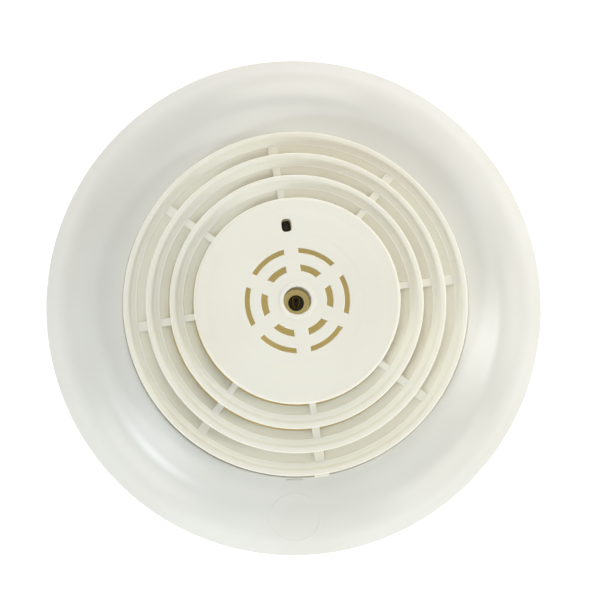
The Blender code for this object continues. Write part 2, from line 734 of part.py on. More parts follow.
def rear_section():
    """A plate with a collar under it, open towards the base."""
    inner = COLLAR_RADIUS - COLLAR_WALL
    plate = REAR_TOP - REAR_PLATE
    return [
        (0.0, REAR_TOP),
        (REAR_RADIUS, REAR_TOP),
        (REAR_RADIUS, plate),
        (COLLAR_RADIUS, plate),
        (COLLAR_RADIUS, COLLAR_BOTTOM),
        (inner, COLLAR_BOTTOM),
        (inner, plate),
        (0.0, plate),
    ]


def rear_lugs():
    """Three lugs on the collar, and three posts that the board stands on."""
    bm = bmesh.new()
    inner = COLLAR_RADIUS - COLLAR_WALL / 2
    for i in range(BAYONETS):
        place = on_bearing(LUG_BEARING + i * 360 / BAYONETS, (inner + LUG_REACH) / 2)
        add_box(bm, LUG_LENGTH, LUG_REACH - inner, LUG_TOP - LUG_HEIGHT, LUG_TOP, place)
        add_cylinder(bm, POST_RADIUS, REAR_TOP - 0.0005, BOARD_BOTTOM - GAP, post_place(i))
    return finish_bmesh(bm, "rear_lugs")


def rear_cutters():
    """Slots for the contacts and pilot holes for the board's screws."""
    bm = bmesh.new()
    for i in range(TERMINALS):
        place = on_bearing(contact_bearing(i), CONTACT_RADIUS)
        width, length = STRIP + 2 * GAP, 0.0036 + 2 * GAP
        add_box(bm, width, length, REAR_TOP - REAR_PLATE - 0.001, REAR_TOP + 0.001, place)
    for i in range(BAYONETS):
        add_cylinder(bm, 0.0014, REAR_TOP - 0.0005, BOARD_BOTTOM + 0.001, post_place(i), 12)
    return finish_bmesh(bm, "rear_cutters")


def add_rear_housing(parent):
    """The back of the head."""
    mesh = profile_mesh("rear_housing", rear_section(), closed=False)
    rear = turn(add_part("rear_housing", mesh, (PLASTIC_CREAM, 0.5, 0.0), parent))
    combine(rear, add_tool("rear_lugs", rear_lugs()), "UNION")
    combine(rear, add_tool("rear_cutters", rear_cutters()), "DIFFERENCE")


def add_contacts(parent):
    """Four bent blades: each runs from the board through the rear housing to its wiper."""
    for i in range(TERMINALS):
        bm = bmesh.new()
        blade = on_bearing(contact_bearing(i), CONTACT_RADIUS)
        add_box(bm, STRIP, 0.0036, WIPER_HEIGHT, BOARD_BOTTOM - GAP, blade)
        name = f"head_contact_{i + 1}"
        contact = add_part(name, finish_bmesh(bm, name), (BRASS, 0.3, 1.0), parent)
        bm = bmesh.new()
        foot = on_bearing(contact_bearing(i), CONTACT_RADIUS) @ Matrix.Translation((-0.0024, 0, 0))
        add_box(bm, 0.0056, 0.0036, WIPER_HEIGHT, WIPER_HEIGHT + STRIP, foot)
        combine(contact, add_tool(f"{name}_foot", finish_bmesh(bm, "foot")), "UNION")


def add_axis(name, parent=None):
    """An empty on the detector's axis, which a moving group hangs from."""
    empty = bpy.data.objects.new(name, None)
    bpy.data.collections["heat_detector"].objects.link(empty)
    empty.parent = parent
    return empty


def main():
    """Build the detector."""
    clear_scene()
    new_collection("heat_detector")
    new_collection("tools")
    base = add_axis("base_axis")
    add_base().parent = base
    add_terminals(base)
    add_clamps(base)
    add_terminal_screws(base)
    lift = add_axis("head_lift_axis", base)
    add_seal(lift)
    twist = add_axis("head_twist_axis", lift)
    add_cover(twist)
    add_carrier(twist)
    add_light_pipe(twist)
    add_thermistor(twist)
    add_board(twist)
    add_components(twist)
    add_rear_housing(twist)
    add_contacts(twist)


main()
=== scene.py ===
"""Heat detector: the visual model of a flanged mounting base and its plug-in sensing head.

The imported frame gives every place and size. This script puts fine moulded shells, the sensor and
the hardware in the place of the frame's faceted solids and gives each piece a procedural finish.
Lengths are in metres and bearings are in degrees clockwise from +Y, seen from the sensing end.
"""

import logging
import math
from dataclasses import dataclass, field
from enum import Enum

import bmesh
import bpy
import numpy as np
from mathutils import Matrix, Vector


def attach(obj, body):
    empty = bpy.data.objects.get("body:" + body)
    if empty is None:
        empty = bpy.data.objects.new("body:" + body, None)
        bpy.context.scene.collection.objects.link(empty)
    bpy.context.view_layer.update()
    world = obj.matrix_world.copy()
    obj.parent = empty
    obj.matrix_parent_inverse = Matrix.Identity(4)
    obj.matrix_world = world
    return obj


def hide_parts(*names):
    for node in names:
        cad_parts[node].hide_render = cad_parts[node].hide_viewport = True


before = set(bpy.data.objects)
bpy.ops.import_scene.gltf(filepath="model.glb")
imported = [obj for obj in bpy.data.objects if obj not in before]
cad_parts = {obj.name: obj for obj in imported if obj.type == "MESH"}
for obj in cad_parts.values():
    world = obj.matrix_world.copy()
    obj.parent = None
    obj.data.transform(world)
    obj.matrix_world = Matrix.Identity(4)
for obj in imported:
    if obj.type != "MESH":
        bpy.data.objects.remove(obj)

LOG = logging.getLogger("heat_detector")
MM = 0.001
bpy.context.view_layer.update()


class Body(Enum):
    """The rigid groups that the joints move."""

    BASE = "base"
    SEAL = "seal"
    HEAD = "head"


# Surfaces


@dataclass
class Surface:
    """A surface that is being worked out: its points and the quads between them."""

    points: np.ndarray
    quads: np.ndarray

    @classmethod
    def from_grid(
        cls,
        grid: np.ndarray,
        close_rows: bool = False,
        close_columns: bool = False,
        keep: np.ndarray | None = None,
    ) -> "Surface":
        """Make a surface of a grid of points.

        Args:
            grid: Points as rows by columns by three.
            close_rows: Whether the last row joins the first.
            close_columns: Whether the last column joins the first.
            keep: Which cells are faces, as rows by columns, or None for all.

        Returns:
            The surface. Point (i, j) has number i * columns + j.
        """
        rows, columns = grid.shape[:2]
        i = np.arange(rows if close_rows else rows - 1)[:, None]
        j = np.arange(columns if close_columns else columns - 1)[None, :]
        below, right = (i + 1) % rows, (j + 1) % columns
        corners = [i * columns + j, i * columns + right, below * columns + right, below * columns + j]
        quads = np.stack(np.broadcast_arrays(*corners), axis=-1)
        quads = quads[keep[: len(i)]] if keep is not None else quads.reshape(-1, 4)
        return cls(grid.reshape(-1, 3), quads)

    @classmethod
    def joined(cls, surfaces: list["Surface"]) -> "Surface":
        """Put several surfaces into one, each with its own points."""
        starts = np.cumsum([0] + [len(s.points) for s in surfaces[:-1]])
        quads = [s.quads + start for s, start in zip(surfaces, starts)]
        return cls(np.concatenate([s.points for s in surfaces]), np.concatenate(quads))

    def placed(self, place: Matrix) -> "Surface":
        """Move the surface by a matrix."""
        matrix = np.array(place)
        return Surface(self.points @ matrix[:3, :3].T + matrix[:3, 3], self.quads)

    def wrapped(self, bearing: float) -> "Surface":
        """Wrap the surface about the Z axis: x becomes an arc, and y stays the radius.

        A point (x, y, z) goes to radius y and to the bearing plus x / y.
        """
        x, y, z = self.points.T
        angle = math.radians(bearing) + x / y
        return Surface(np.stack([y * np.sin(angle), y * np.cos(angle), z], axis=-1), self.quads)


def on_bearing(bearing: float, radius: float = 0.0, height: float = 0.0) -> Matrix:
    """The frame whose local Y points outwards on a bearing, at a radius and height."""
    turned = Matrix.Rotation(math.radians(-bearing), 4, "Z")
    return turned @ Matrix.Translation((0.0, radius, height))


def rounded_path(corners: list[tuple[float, float, float]], closed: bool = False) -> np.ndarray:
    """Walk straight runs whose corners are rounded.

    At a corner where the path turns by an angle t, a fillet of radius r starts and ends
    r * tan(t / 2) from the corner, and its centre lies on the corner's bisector. A step along it
    is at most as long as longest and turns by at most widest. Each straight run gets a point at
    the distance hold from either end, which keeps the fillet's shading off the flat.

    Args:
        corners: Each corner as two coordinates and the radius of its fillet.
        closed: Whether the last corner joins the first.

    Returns:
        The points, as rows of two coordinates.
    """
    hold, longest, widest = 0.15 * MM, 1.3 * MM, math.radians(17)
    count = len(corners)
    places = np.array([c[:2] for c in corners])
    pieces = []
    for k, (_, _, radius) in enumerate(corners):
        here = places[k]
        if not closed and k in (0, count - 1):
            pieces.append(here[None])
            continue
        back, ahead = places[k - 1] - here, places[(k + 1) % count] - here
        room = 0.48 * min(np.linalg.norm(back), np.linalg.norm(ahead))
        back, ahead = back / np.linalg.norm(back), ahead / np.linalg.norm(ahead)
        turn = math.pi - math.acos(np.clip(back @ ahead, -1, 1))
        if radius <= 0 or turn < 0.01:
            pieces.append(here[None])
            continue
        reach = min(radius * math.tan(turn / 2), room)
        radius = reach / math.tan(turn / 2)
        bisector = (back + ahead) / np.linalg.norm(back + ahead)
        centre = here + bisector * radius / math.cos(turn / 2)
        start, end = here + back * reach - centre, here + ahead * reach - centre
        steps = max(2, math.ceil(turn / widest), math.ceil(radius * turn / longest))
        share = np.linspace(0, 1, steps + 1)[:, None]
        arc = np.sin((1 - share) * turn) * start + np.sin(share * turn) * end
        pieces.append(centre + arc / math.sin(turn))
    path = []
    for k, piece in enumerate(pieces):
        path.append(piece)
        if k == len(pieces) - 1 and not closed:
            break
        start, end = piece[-1], pieces[(k + 1) % len(pieces)][0]
        length = np.linalg.norm(end - start)
        if length > 3 * hold:
            share = np.array([[hold / length], [1 - hold / length]])
            path.append(start + share * (end - start))
    return np.concatenate(path)


def around(count: int) -> np.ndarray:
    """Bearings of evenly spaced grid lines about the axis, in radians."""
    return np.linspace(0, 2 * math.pi, count, endpoint=False)


def revolved(path: np.ndarray, bearings: np.ndarray) -> np.ndarray:
    """The grid of a path turned about the Z axis.

    A point at radius r, height z and bearing b is (r sin b, r cos b, z).

    Args:
        path: Radius and height of each row.
        bearings: Bearing of each column in radians, or one row of bearings for each row.

    Returns:
        The grid of points.
    """
    radius, height = path[:, :1], path[:, 1:]
    bearings = np.broadcast_to(bearings, (len(path), bearings.shape[-1]))
    x, y = radius * np.sin(bearings), radius * np.cos(bearings)
    return np.stack([x, y, np.broadcast_to(height, x.shape)], axis=-1)


def ring(corners: list[tuple[float, float, float]], count: int = 180) -> Surface:
    """A closed ring: a rounded section turned about the axis."""
    path = rounded_path(corners, closed=True)
    return Surface.from_grid(revolved(path, around(count)), close_rows=True, close_columns=True)


def solid_of_revolution(corners: list[tuple[float, float, float]], count: int = 64) -> Surface:
    """A closed turned body whose path starts and ends on the axis."""
    path = rounded_path(corners)
    return Surface.from_grid(revolved(path, around(count)), close_columns=True)


def rounded_block(
    size: tuple[float, float, float], radius: float, flats: tuple[int, int, int] = (1, 1, 1)
) -> Surface:
    """A block with rounded edges, centred on the origin.

    The block is a ball whose octants are moved apart to the corners of a smaller box. Each side of
    a cube gives a grid of directions; a point is the radius along its direction, plus the corner
    of the smaller box that its octant goes to. The cells between octants are the flats.

    Args:
        size: The block's three lengths.
        radius: The radius of its edges.
        flats: How many cells each flat has along X, Y and Z.

    Returns:
        The block's surface.
    """
    half = np.maximum(np.array(size) / 2 - radius, 0.0)
    quarter = np.tan(np.radians([-45, -30, -15, 0]))
    sides = []
    for axis in range(3):
        u_axis, v_axis = (axis + 1) % 3, (axis + 2) % 3
        lines = []
        for side in (u_axis, v_axis):
            spread = np.linspace(-1, 1, flats[side] + 1)
            tangent = np.concatenate([quarter[:-1], np.zeros(len(spread)), -quarter[-2::-1]])
            moved = np.concatenate([-np.ones(3), spread, np.ones(3)])
            lines.append((tangent, moved * half[side]))
        (u_tan, u_move), (v_tan, v_move) = lines
        for sign in (-1, 1):
            direction = np.empty((len(u_tan), len(v_tan), 3))
            direction[..., axis] = sign
            direction[..., u_axis] = u_tan[:, None]
            direction[..., v_axis] = v_tan[None, :]
            direction /= np.linalg.norm(direction, axis=-1, keepdims=True)
            points = direction * radius
            points[..., axis] += sign * half[axis]
            points[..., u_axis] += u_move[:, None]
            points[..., v_axis] += v_move[None, :]
            sides.append(Surface.from_grid(points))
    return Surface.joined(sides)


def block_on(
    bearing: float,
    radii: tuple[float, float],
    heights: tuple[float, float],
    width: float,
    edge: float,
) -> Surface:
    """A rounded block that reaches between two radii and two heights on a bearing."""
    size = (width, radii[1] - radii[0], heights[1] - heights[0])
    place = on_bearing(bearing, sum(radii) / 2, sum(heights) / 2)
    return rounded_block(size, edge).placed(place)


def curved_block(
    bearing: float,
    radii: tuple[float, float],
    heights: tuple[float, float],
    length: float,
    edge: float,
) -> Surface:
    """A rounded block that is bent around the axis, centred on a bearing."""
    block = rounded_block((length, radii[1] - radii[0], heights[1] - heights[0]), edge, (16, 1, 1))
    lift = Matrix.Translation((0.0, sum(radii) / 2, sum(heights) / 2))
    return block.placed(lift).wrapped(bearing)


def tube(path: np.ndarray, radius: float, sides: int = 12) -> Surface:
    """A round wire along a path, closed at its ends.

    At each point the wire's circle lies in the plane across the path's direction, which is the
    difference of the neighbouring points. The end circles shrink to a point.

    Args:
        path: The wire's centreline as rows of three coordinates.
        radius: The wire's radius.
        sides: How many facets it has.

    Returns:
        The wire's surface.
    """
    along = np.gradient(path, axis=0)
    along /= np.linalg.norm(along, axis=1, keepdims=True)
    across = np.cross(along, np.array([0.31, 0.17, 0.93]))
    across /= np.linalg.norm(across, axis=1, keepdims=True)
    up = np.cross(along, across)
    angle = around(sides)[None, :, None]
    circle = across[:, None] * np.cos(angle) + up[:, None] * np.sin(angle)
    grid = path[:, None] + circle * radius
    ends = [np.repeat(path[k][None, None], sides, axis=1) for k in (0, -1)]
    return Surface.from_grid(np.concatenate([ends[0], grid, ends[1]]), close_columns=True)


def smooth_curve(points: list[tuple[float, float, float]], count: int) -> np.ndarray:
    """A curve through points: a Catmull-Rom spline sampled evenly in its parameter."""
    p = np.array(points)
    p = np.concatenate([2 * p[:1] - p[1:2], p, 2 * p[-1:] - p[-2:-1]])
    t = np.linspace(0, len(points) - 1, count)
    k = np.minimum(t.astype(int), len(points) - 2)
    s = (t - k)[:, None]
    a, b, c, d = p[k], p[k + 1], p[k + 2], p[k + 3]
    return 0.5 * (2 * b + (c - a) * s + (2 * a - 5 * b + 4 * c - d) * s**2 + (3 * b - a - 3 * c + d) * s**3)


def walls_of_holes(holes: np.ndarray, top: np.ndarray, bottom: np.ndarray) -> np.ndarray:
    """The quads that line the holes of a plate.

    Where one of two neighbouring cells is a hole and the other isn't, the edge between them gets
    a wall from the plate's top to its bottom.

    Args:
        holes: Which cells are open, as rows by columns; the columns close around the axis.
        top: Numbers of the top sheet's points, with one more row than holes.
        bottom: Numbers of the bottom sheet's points, in the same order.

    Returns:
        The wall quads.
    """
    row, column = np.nonzero(holes[1:] != holes[:-1])
    row, right = row + 1, (column + 1) % holes.shape[1]
    ends = [(row, column), (row, right)]
    along = np.stack([top[ends[0]], top[ends[1]], bottom[ends[1]], bottom[ends[0]]], axis=-1)
    row, column = np.nonzero(holes != np.roll(holes, 1, axis=1))
    ends = [(row, column), (row + 1, column)]
    across = np.stack([top[ends[0]], top[ends[1]], bottom[ends[1]], bottom[ends[0]]], axis=-1)
    return np.concatenate([along, across])


@dataclass
class SpokedColumns:
    """Grid lines about the axis that follow spokes with parallel sides.

    A line inside a spoke keeps its distance x from the spoke's middle, so its bearing at radius r
    is asin(x / r). The lines between two spokes share out the bearing left between their sides.
    Outside the two limits of radius, each line keeps its bearing.
    """

    spokes: int
    first: float
    half_width: float
    limits: tuple[float, float]
    inside: np.ndarray
    between: np.ndarray

    def at(self, radii: np.ndarray, sideways: np.ndarray | None = None) -> np.ndarray:
        """Work out the bearings of all lines.

        Args:
            radii: The radius of each row.
            sideways: Distances from the spoke's middle, as rows by lines, or None for the
                fractions of the half width in inside. The last one is the spoke's side.

        Returns:
            Bearings in radians, as rows by columns.
        """
        r = np.clip(radii, *self.limits)[:, None]
        if sideways is None:
            sideways = np.broadcast_to(self.inside * self.half_width, (len(r), len(self.inside)))
        step = 2 * math.pi / self.spokes
        edge = np.arcsin(sideways[:, -1:] / r)
        between = edge + self.between * (step - 2 * edge)
        sector = np.concatenate([np.arcsin(sideways / r), between], axis=1)
        starts = math.radians(self.first) + step * np.arange(self.spokes)
        return (starts[None, :, None] + sector[:, None, :]).reshape(len(r), -1)


def edge_drop(distance: np.ndarray, radius: float) -> np.ndarray:
    """How far a rounded edge has dropped at a distance outside its foot.

    The edge is a quarter circle: the drop is r - sqrt(r^2 - (r - d)^2), from r at the foot to
    nothing at a distance of r.
    """
    left = radius - np.clip(distance, 0, radius)
    return radius - np.sqrt(radius**2 - left**2)


def smooth_step(x: np.ndarray, low: float, high: float) -> np.ndarray:
    """Rise from 0 at low to 1 at high as 3t^2 - 2t^3."""
    t = np.clip((x - low) / (high - low), 0, 1)
    return t * t * (3 - 2 * t)


# Finishes

Socket = bpy.types.NodeSocket
NO_LIGHT = "#000000"


def linear(hex_colour: str) -> tuple[float, float, float, float]:
    """Turn an sRGB hex colour into linear red, green, blue and alpha."""
    parts = [int(hex_colour[i : i + 2], 16) / 255 for i in (1, 3, 5)]
    lit = [p / 12.92 if p <= 0.04045 else ((p + 0.055) / 1.055) ** 2.4 for p in parts]
    return (*lit, 1.0)


class Tree:
    """A material's node tree that is being wired."""

    def __init__(self, name: str) -> None:
        """Start a material with an unwired Principled shader."""
        self.material = bpy.data.materials.new(name)
        self.material.use_nodes = True
        self.nodes = self.material.node_tree.nodes
        self.shader = self.nodes["Principled BSDF"]
        self.coordinates = self.add("ShaderNodeTexCoord").outputs["Object"]

    def add(
        self, kind: str, links: dict | None = None, values: dict | None = None, **settings: str
    ) -> bpy.types.Node:
        """Add a node.

        Args:
            kind: The node's type.
            links: Sockets to link, by the name or number of the input.
            values: Constants to set, by the name or number of the input.
            **settings: The node's own properties.

        Returns:
            The node.
        """
        node = self.nodes.new(kind)
        for name, value in settings.items():
            setattr(node, name, value)
        for name, value in (values or {}).items():
            node.inputs[name].default_value = value
        for name, socket in (links or {}).items():
            self.material.node_tree.links.new(socket, node.inputs[name])
        return node

    def noise(self, size: float, detail: float = 2.0, roughness: float = 0.5) -> Socket:
        """A noise pattern whose features measure about size metres."""
        values = {"Scale": 1 / size, "Detail": detail, "Roughness": roughness}
        return self.add("ShaderNodeTexNoise", {"Vector": self.coordinates}, values).outputs["Fac"]

    def range(
        self, source: Socket, low: float, high: float, to_low: float, to_high: float
    ) -> Socket:
        """Map a value from one range to another, clamped."""
        values = {"From Min": low, "From Max": high, "To Min": to_low, "To Max": to_high}
        return self.add("ShaderNodeMapRange", {"Value": source}, values).outputs["Result"]

    def mix(self, factor: Socket, first: str | Socket, second: str | Socket) -> Socket:
        """Mix two colours, each a hex colour or a socket, by a factor socket."""
        node = self.add("ShaderNodeMix", {0: factor}, data_type="RGBA")
        for number, colour in ((6, first), (7, second)):
            if isinstance(colour, str):
                node.inputs[number].default_value = linear(colour)
            else:
                self.material.node_tree.links.new(colour, node.inputs[number])
        return node.outputs[2]

    def bump(self, height: Socket, depth: float, normal: Socket | None = None) -> Socket:
        """Turn a height pattern into a normal; depth is in metres."""
        links = {"Height": height} | ({"Normal": normal} if normal else {})
        return self.add("ShaderNodeBump", links, {"Strength": 1.0, "Distance": depth}).outputs["Normal"]

    def finish(self, links: dict, values: dict) -> bpy.types.Material:
        """Set the shader's own values, link its inputs and return the material."""
        for name, value in values.items():
            self.shader.inputs[name].default_value = value
        for name, socket in links.items():
            self.material.node_tree.links.new(socket, self.shader.inputs[name])
        return self.material


@dataclass(frozen=True)
class MouldedPlastic:
    """An injection-moulded plastic: an even colour that drifts slowly, over a fine mould grain.

    Glow is the share of light that scatters below the surface, down to about glow_depth.
    Its emitted colour is painted light: the plastic gives it off itself, and it stands for the
    daylight that thin walls above it let through, which a closed room of opaque walls would lack.
    """

    name: str
    colour: str
    aged: str
    roughness: float
    grain: float
    grain_depth: float
    ripple_depth: float = 4e-6
    wear: float = 0.05
    speck: str = "#6E6A5E"
    speck_share: float = 0.0
    glow: float = 0.0
    glow_depth: float = 2.5 * MM
    painted_light: str = NO_LIGHT

    def build(self) -> bpy.types.Material:
        """Wire the material."""
        tree = Tree(self.name)
        drift = tree.range(tree.noise(38 * MM, 3.0), 0.35, 0.7, 0.0, 1.0)
        colour = tree.mix(drift, self.colour, self.aged)
        if self.speck_share:
            # Dust and black specks in the resin, about a third of a millimetre across.
            cells = tree.add(
                "ShaderNodeTexVoronoi",
                {"Vector": tree.coordinates},
                {"Scale": 1 / (3.5 * MM), "Randomness": 1.0},
            )
            chosen = tree.range(cells.outputs["Color"], 0.0, self.speck_share, 1.0, 0.0)
            near = tree.range(cells.outputs["Distance"], 0.03, 0.07, 0.55, 0.0)
            spot = tree.add("ShaderNodeMath", {0: chosen, 1: near}, operation="MULTIPLY")
            colour = tree.mix(spot.outputs[0], colour, self.speck)
        grain = tree.noise(self.grain, 2.0, 0.6)
        ripple = tree.noise(9 * MM, 1.0)
        normal = tree.bump(grain, self.grain_depth, tree.bump(ripple, self.ripple_depth))
        wear = tree.noise(26 * MM, 2.0, 0.5)
        low, high = self.roughness - self.wear / 2, self.roughness + self.wear / 2
        rough = tree.range(wear, 0.2, 0.8, low, high)
        inside = {
            "Subsurface Weight": self.glow,
            "Subsurface Radius": (1.0, 0.92, 0.7),
            "Subsurface Scale": self.glow_depth,
        }
        # Painted light: an emitted glow in place of the daylight that thin walls above would let through.
        if self.painted_light != NO_LIGHT:
            inside |= {"Emission Color": linear(self.painted_light), "Emission Strength": 1.0}
        return tree.finish(
            {"Base Color": colour, "Roughness": rough, "Normal": normal},
            {"IOR": 1.54, "Metallic": 0.0} | inside,
        )


@dataclass(frozen=True)
class PressedMetal:
    """A plated or bare metal part: fine rolling lines, dulled patches and slightly worn edges."""

    name: str
    colour: str
    dull: str
    roughness: float
    line: float = 0.25 * MM

    def build(self) -> bpy.types.Material:
        """Wire the material."""
        tree = Tree(self.name)
        patches = tree.range(tree.noise(2.5 * MM, 4.0, 0.6), 0.4, 0.68, 0.0, 1.0)
        colour = tree.mix(patches, self.colour, self.dull)
        stretched = tree.add(
            "ShaderNodeMapping", {"Vector": tree.coordinates}, {"Scale": (0.12, 1.0, 0.4)}
        )
        lines = tree.add(
            "ShaderNodeTexNoise",
            {"Vector": stretched.outputs["Vector"]},
            {"Scale": 1 / self.line, "Detail": 2.0},
        ).outputs["Fac"]
        rough = tree.range(patches, 0.0, 1.0, self.roughness, self.roughness + 0.18)
        return tree.finish(
            {"Base Color": colour, "Roughness": rough, "Normal": tree.bump(lines, 3e-6)},
            {"Metallic": 1.0},
        )


@dataclass(frozen=True)
class SolidRubber:
    """A black elastomer: matt, with a bloom of pale dust."""

    name: str
    colour: str
    bloom: str

    def build(self) -> bpy.types.Material:
        """Wire the material."""
        tree = Tree(self.name)
        dust = tree.range(tree.noise(1.2 * MM, 5.0, 0.7), 0.45, 0.8, 0.0, 0.6)
        colour = tree.mix(dust, self.colour, self.bloom)
        rough = tree.range(dust, 0.0, 0.6, 0.62, 0.85)
        normal = tree.bump(tree.noise(0.3 * MM), 1e-5)
        return tree.finish(
            {"Base Color": colour, "Roughness": rough, "Normal": normal}, {"IOR": 1.5}
        )


@dataclass(frozen=True)
class BoardLaminate:
    """A circuit board: green mask over copper tracks, which show as slightly raised lighter lines."""

    name: str
    mask: str
    over_copper: str

    def build(self) -> bpy.types.Material:
        """Wire the material."""
        tree = Tree(self.name)
        # Tracks about half a millimetre wide along the edges of square-metric cells.
        cells = tree.add(
            "ShaderNodeTexVoronoi",
            {"Vector": tree.coordinates},
            {"Scale": 1 / (4.5 * MM), "Randomness": 0.75},
            distance="CHEBYCHEV",
            feature="F2",
        ).outputs["Distance"]
        copper = tree.range(cells, 0.62, 0.66, 0.0, 1.0)
        colour = tree.mix(copper, self.mask, self.over_copper)
        rough = tree.range(tree.noise(3 * MM), 0.3, 0.7, 0.28, 0.42)
        return tree.finish(
            {"Base Color": colour, "Roughness": rough, "Normal": tree.bump(copper, 3e-5)},
            {"IOR": 1.55},
        )


@dataclass(frozen=True)
class TintedResin:
    """A smooth dark or tinted casting: glossy, with faint swirls in its colour."""

    name: str
    colour: str
    swirl: str
    roughness: float

    def build(self) -> bpy.types.Material:
        """Wire the material."""
        tree = Tree(self.name)
        swirls = tree.range(tree.noise(1.5 * MM, 3.0), 0.35, 0.7, 0.0, 1.0)
        rough = tree.range(tree.noise(0.8 * MM), 0.3, 0.7, self.roughness, self.roughness + 0.1)
        colour = tree.mix(swirls, self.colour, self.swirl)
        normal = tree.bump(tree.noise(0.2 * MM), 1.5e-6)
        return tree.finish(
            {"Base Color": colour, "Roughness": rough, "Normal": normal}, {"IOR": 1.52}
        )


FLANGE_ABS = MouldedPlastic(
    "ABS moulded, cool white, satin", "#DADBD7", "#D5D5CF", 0.30, 0.5 * MM, 1.5e-6, 6e-6, wear=0.03
)
HEAD_ABS = MouldedPlastic(
    "ABS moulded, cream white, fine grain",
    "#E9E8DE",
    "#E6E3D6",
    0.42,
    0.35 * MM,
    3e-6,
    4e-6,
    speck_share=0.03,
    glow=0.2,
    glow_depth=1.0 * MM,
)
# The carrier's emitted tan is painted light: a glow that stands for daylight through the cover's thin
# walls.
CARRIER_ABS = MouldedPlastic(
    "ABS moulded, natural cream, painted glow",
    "#E4D3A2",
    "#DAC691",
    0.5,
    0.35 * MM,
    5e-6,
    painted_light="#827851",
)
REAR_ABS = MouldedPlastic(
    "ABS moulded, cream, ejector side", "#E0DCCC", "#D6D0BC", 0.5, 0.4 * MM, 7e-6
)
SEAL_RUBBER = SolidRubber("Nitrile rubber moulded", "#1B1B1C", "#4A4A48")
TINNED_BRASS = PressedMetal("Spring brass, tinned and pressed", "#C9C3B2", "#A69C82", 0.28)
ZINC_STEEL = PressedMetal("Steel, zinc plated", "#BFC1C2", "#96989A", 0.30)
COPPER_WIRE = PressedMetal("Copper-clad wire, oxidised", "#B79C58", "#8A7038", 0.42)
# The mask and tracks are darkened nearly to black. This is partly a green board's own colour and partly
# painted shade for the dark seen down the sensor's hole.
GREEN_BOARD_PAINTED_SHADE = BoardLaminate("Glass laminate with solder mask, darkened as painted shade", "#071C10", "#0F2E1A")
BLACK_EPOXY = TintedResin("Moulding epoxy, black", "#141414", "#232222", 0.45)
SLEEVE = TintedResin("Shrink sleeve, dark blue", "#10162C", "#1A2240", 0.25)
CERAMIC = TintedResin("Coated ceramic, grey", "#2E2E33", "#46464C", 0.4)
RED_LENS = TintedResin("Epoxy lens, red tint", "#7A0F0B", "#A01812", 0.12)
SMOKED_PIPE = TintedResin("Acrylic moulded, smoked", "#2A2523", "#342E2B", 0.55)
BEAD_GLASS = TintedResin("Glass bead, dark brown", "#1E0F0A", "#40201A", 0.32)

Finish = MouldedPlastic | PressedMetal | SolidRubber | BoardLaminate | TintedResin

_finished: dict[str, bpy.types.Material] = {}


def material_of(finish: Finish) -> bpy.types.Material:
    """Build a finish once and share it."""
    if finish.name not in _finished:
        _finished[finish.name] = finish.build()
    return _finished[finish.name]


# Pieces


def make_piece(
    name: str,
    surface: Surface,
    finish: Finish,
    body: Body,
    nodes: tuple[str, ...],
    sharp: float = 40.0,
) -> bpy.types.Object:
    """Turn a surface into a piece of the model.

    Args:
        name: The piece's name.
        surface: Its surface, closed once points at one place are merged.
        finish: What it is made of.
        body: The rigid group that it moves with.
        nodes: The frame's nodes that it stands for.
        sharp: The angle in degrees past which an edge is shaded sharp.

    Returns:
        The object.
    """
    mesh = bpy.data.meshes.new(name)
    mesh.from_pydata(surface.points, [], surface.quads)
    bm = bmesh.new()
    bm.from_mesh(mesh)
    bmesh.ops.remove_doubles(bm, verts=bm.verts, dist=0.001 * MM)
    bmesh.ops.dissolve_degenerate(bm, edges=bm.edges, dist=0.0005 * MM)
    bmesh.ops.recalc_face_normals(bm, faces=bm.faces)
    loose = sum(1 for e in bm.edges if len(e.link_faces) != 2)
    bm.to_mesh(mesh)
    bm.free()
    mesh.shade_smooth()
    mesh.set_sharp_from_angle(angle=math.radians(sharp))
    piece = bpy.data.objects.new(name, mesh)
    bpy.context.scene.collection.objects.link(piece)
    mesh.materials.append(material_of(finish))
    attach(piece, body.value)
    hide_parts(*nodes)
    triangles = sum(len(face.vertices) - 2 for face in mesh.polygons)
    LOG.info("%s: %d triangles, %d open edges", name, triangles, loose)
    return piece


def dress_node(node: str, finish: Finish) -> None:
    """Give a node of the frame its finish."""
    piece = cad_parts[node]
    piece.data.materials.clear()
    piece.data.materials.append(material_of(finish))
    LOG.info("%s: frame node, %s", node, finish.name)


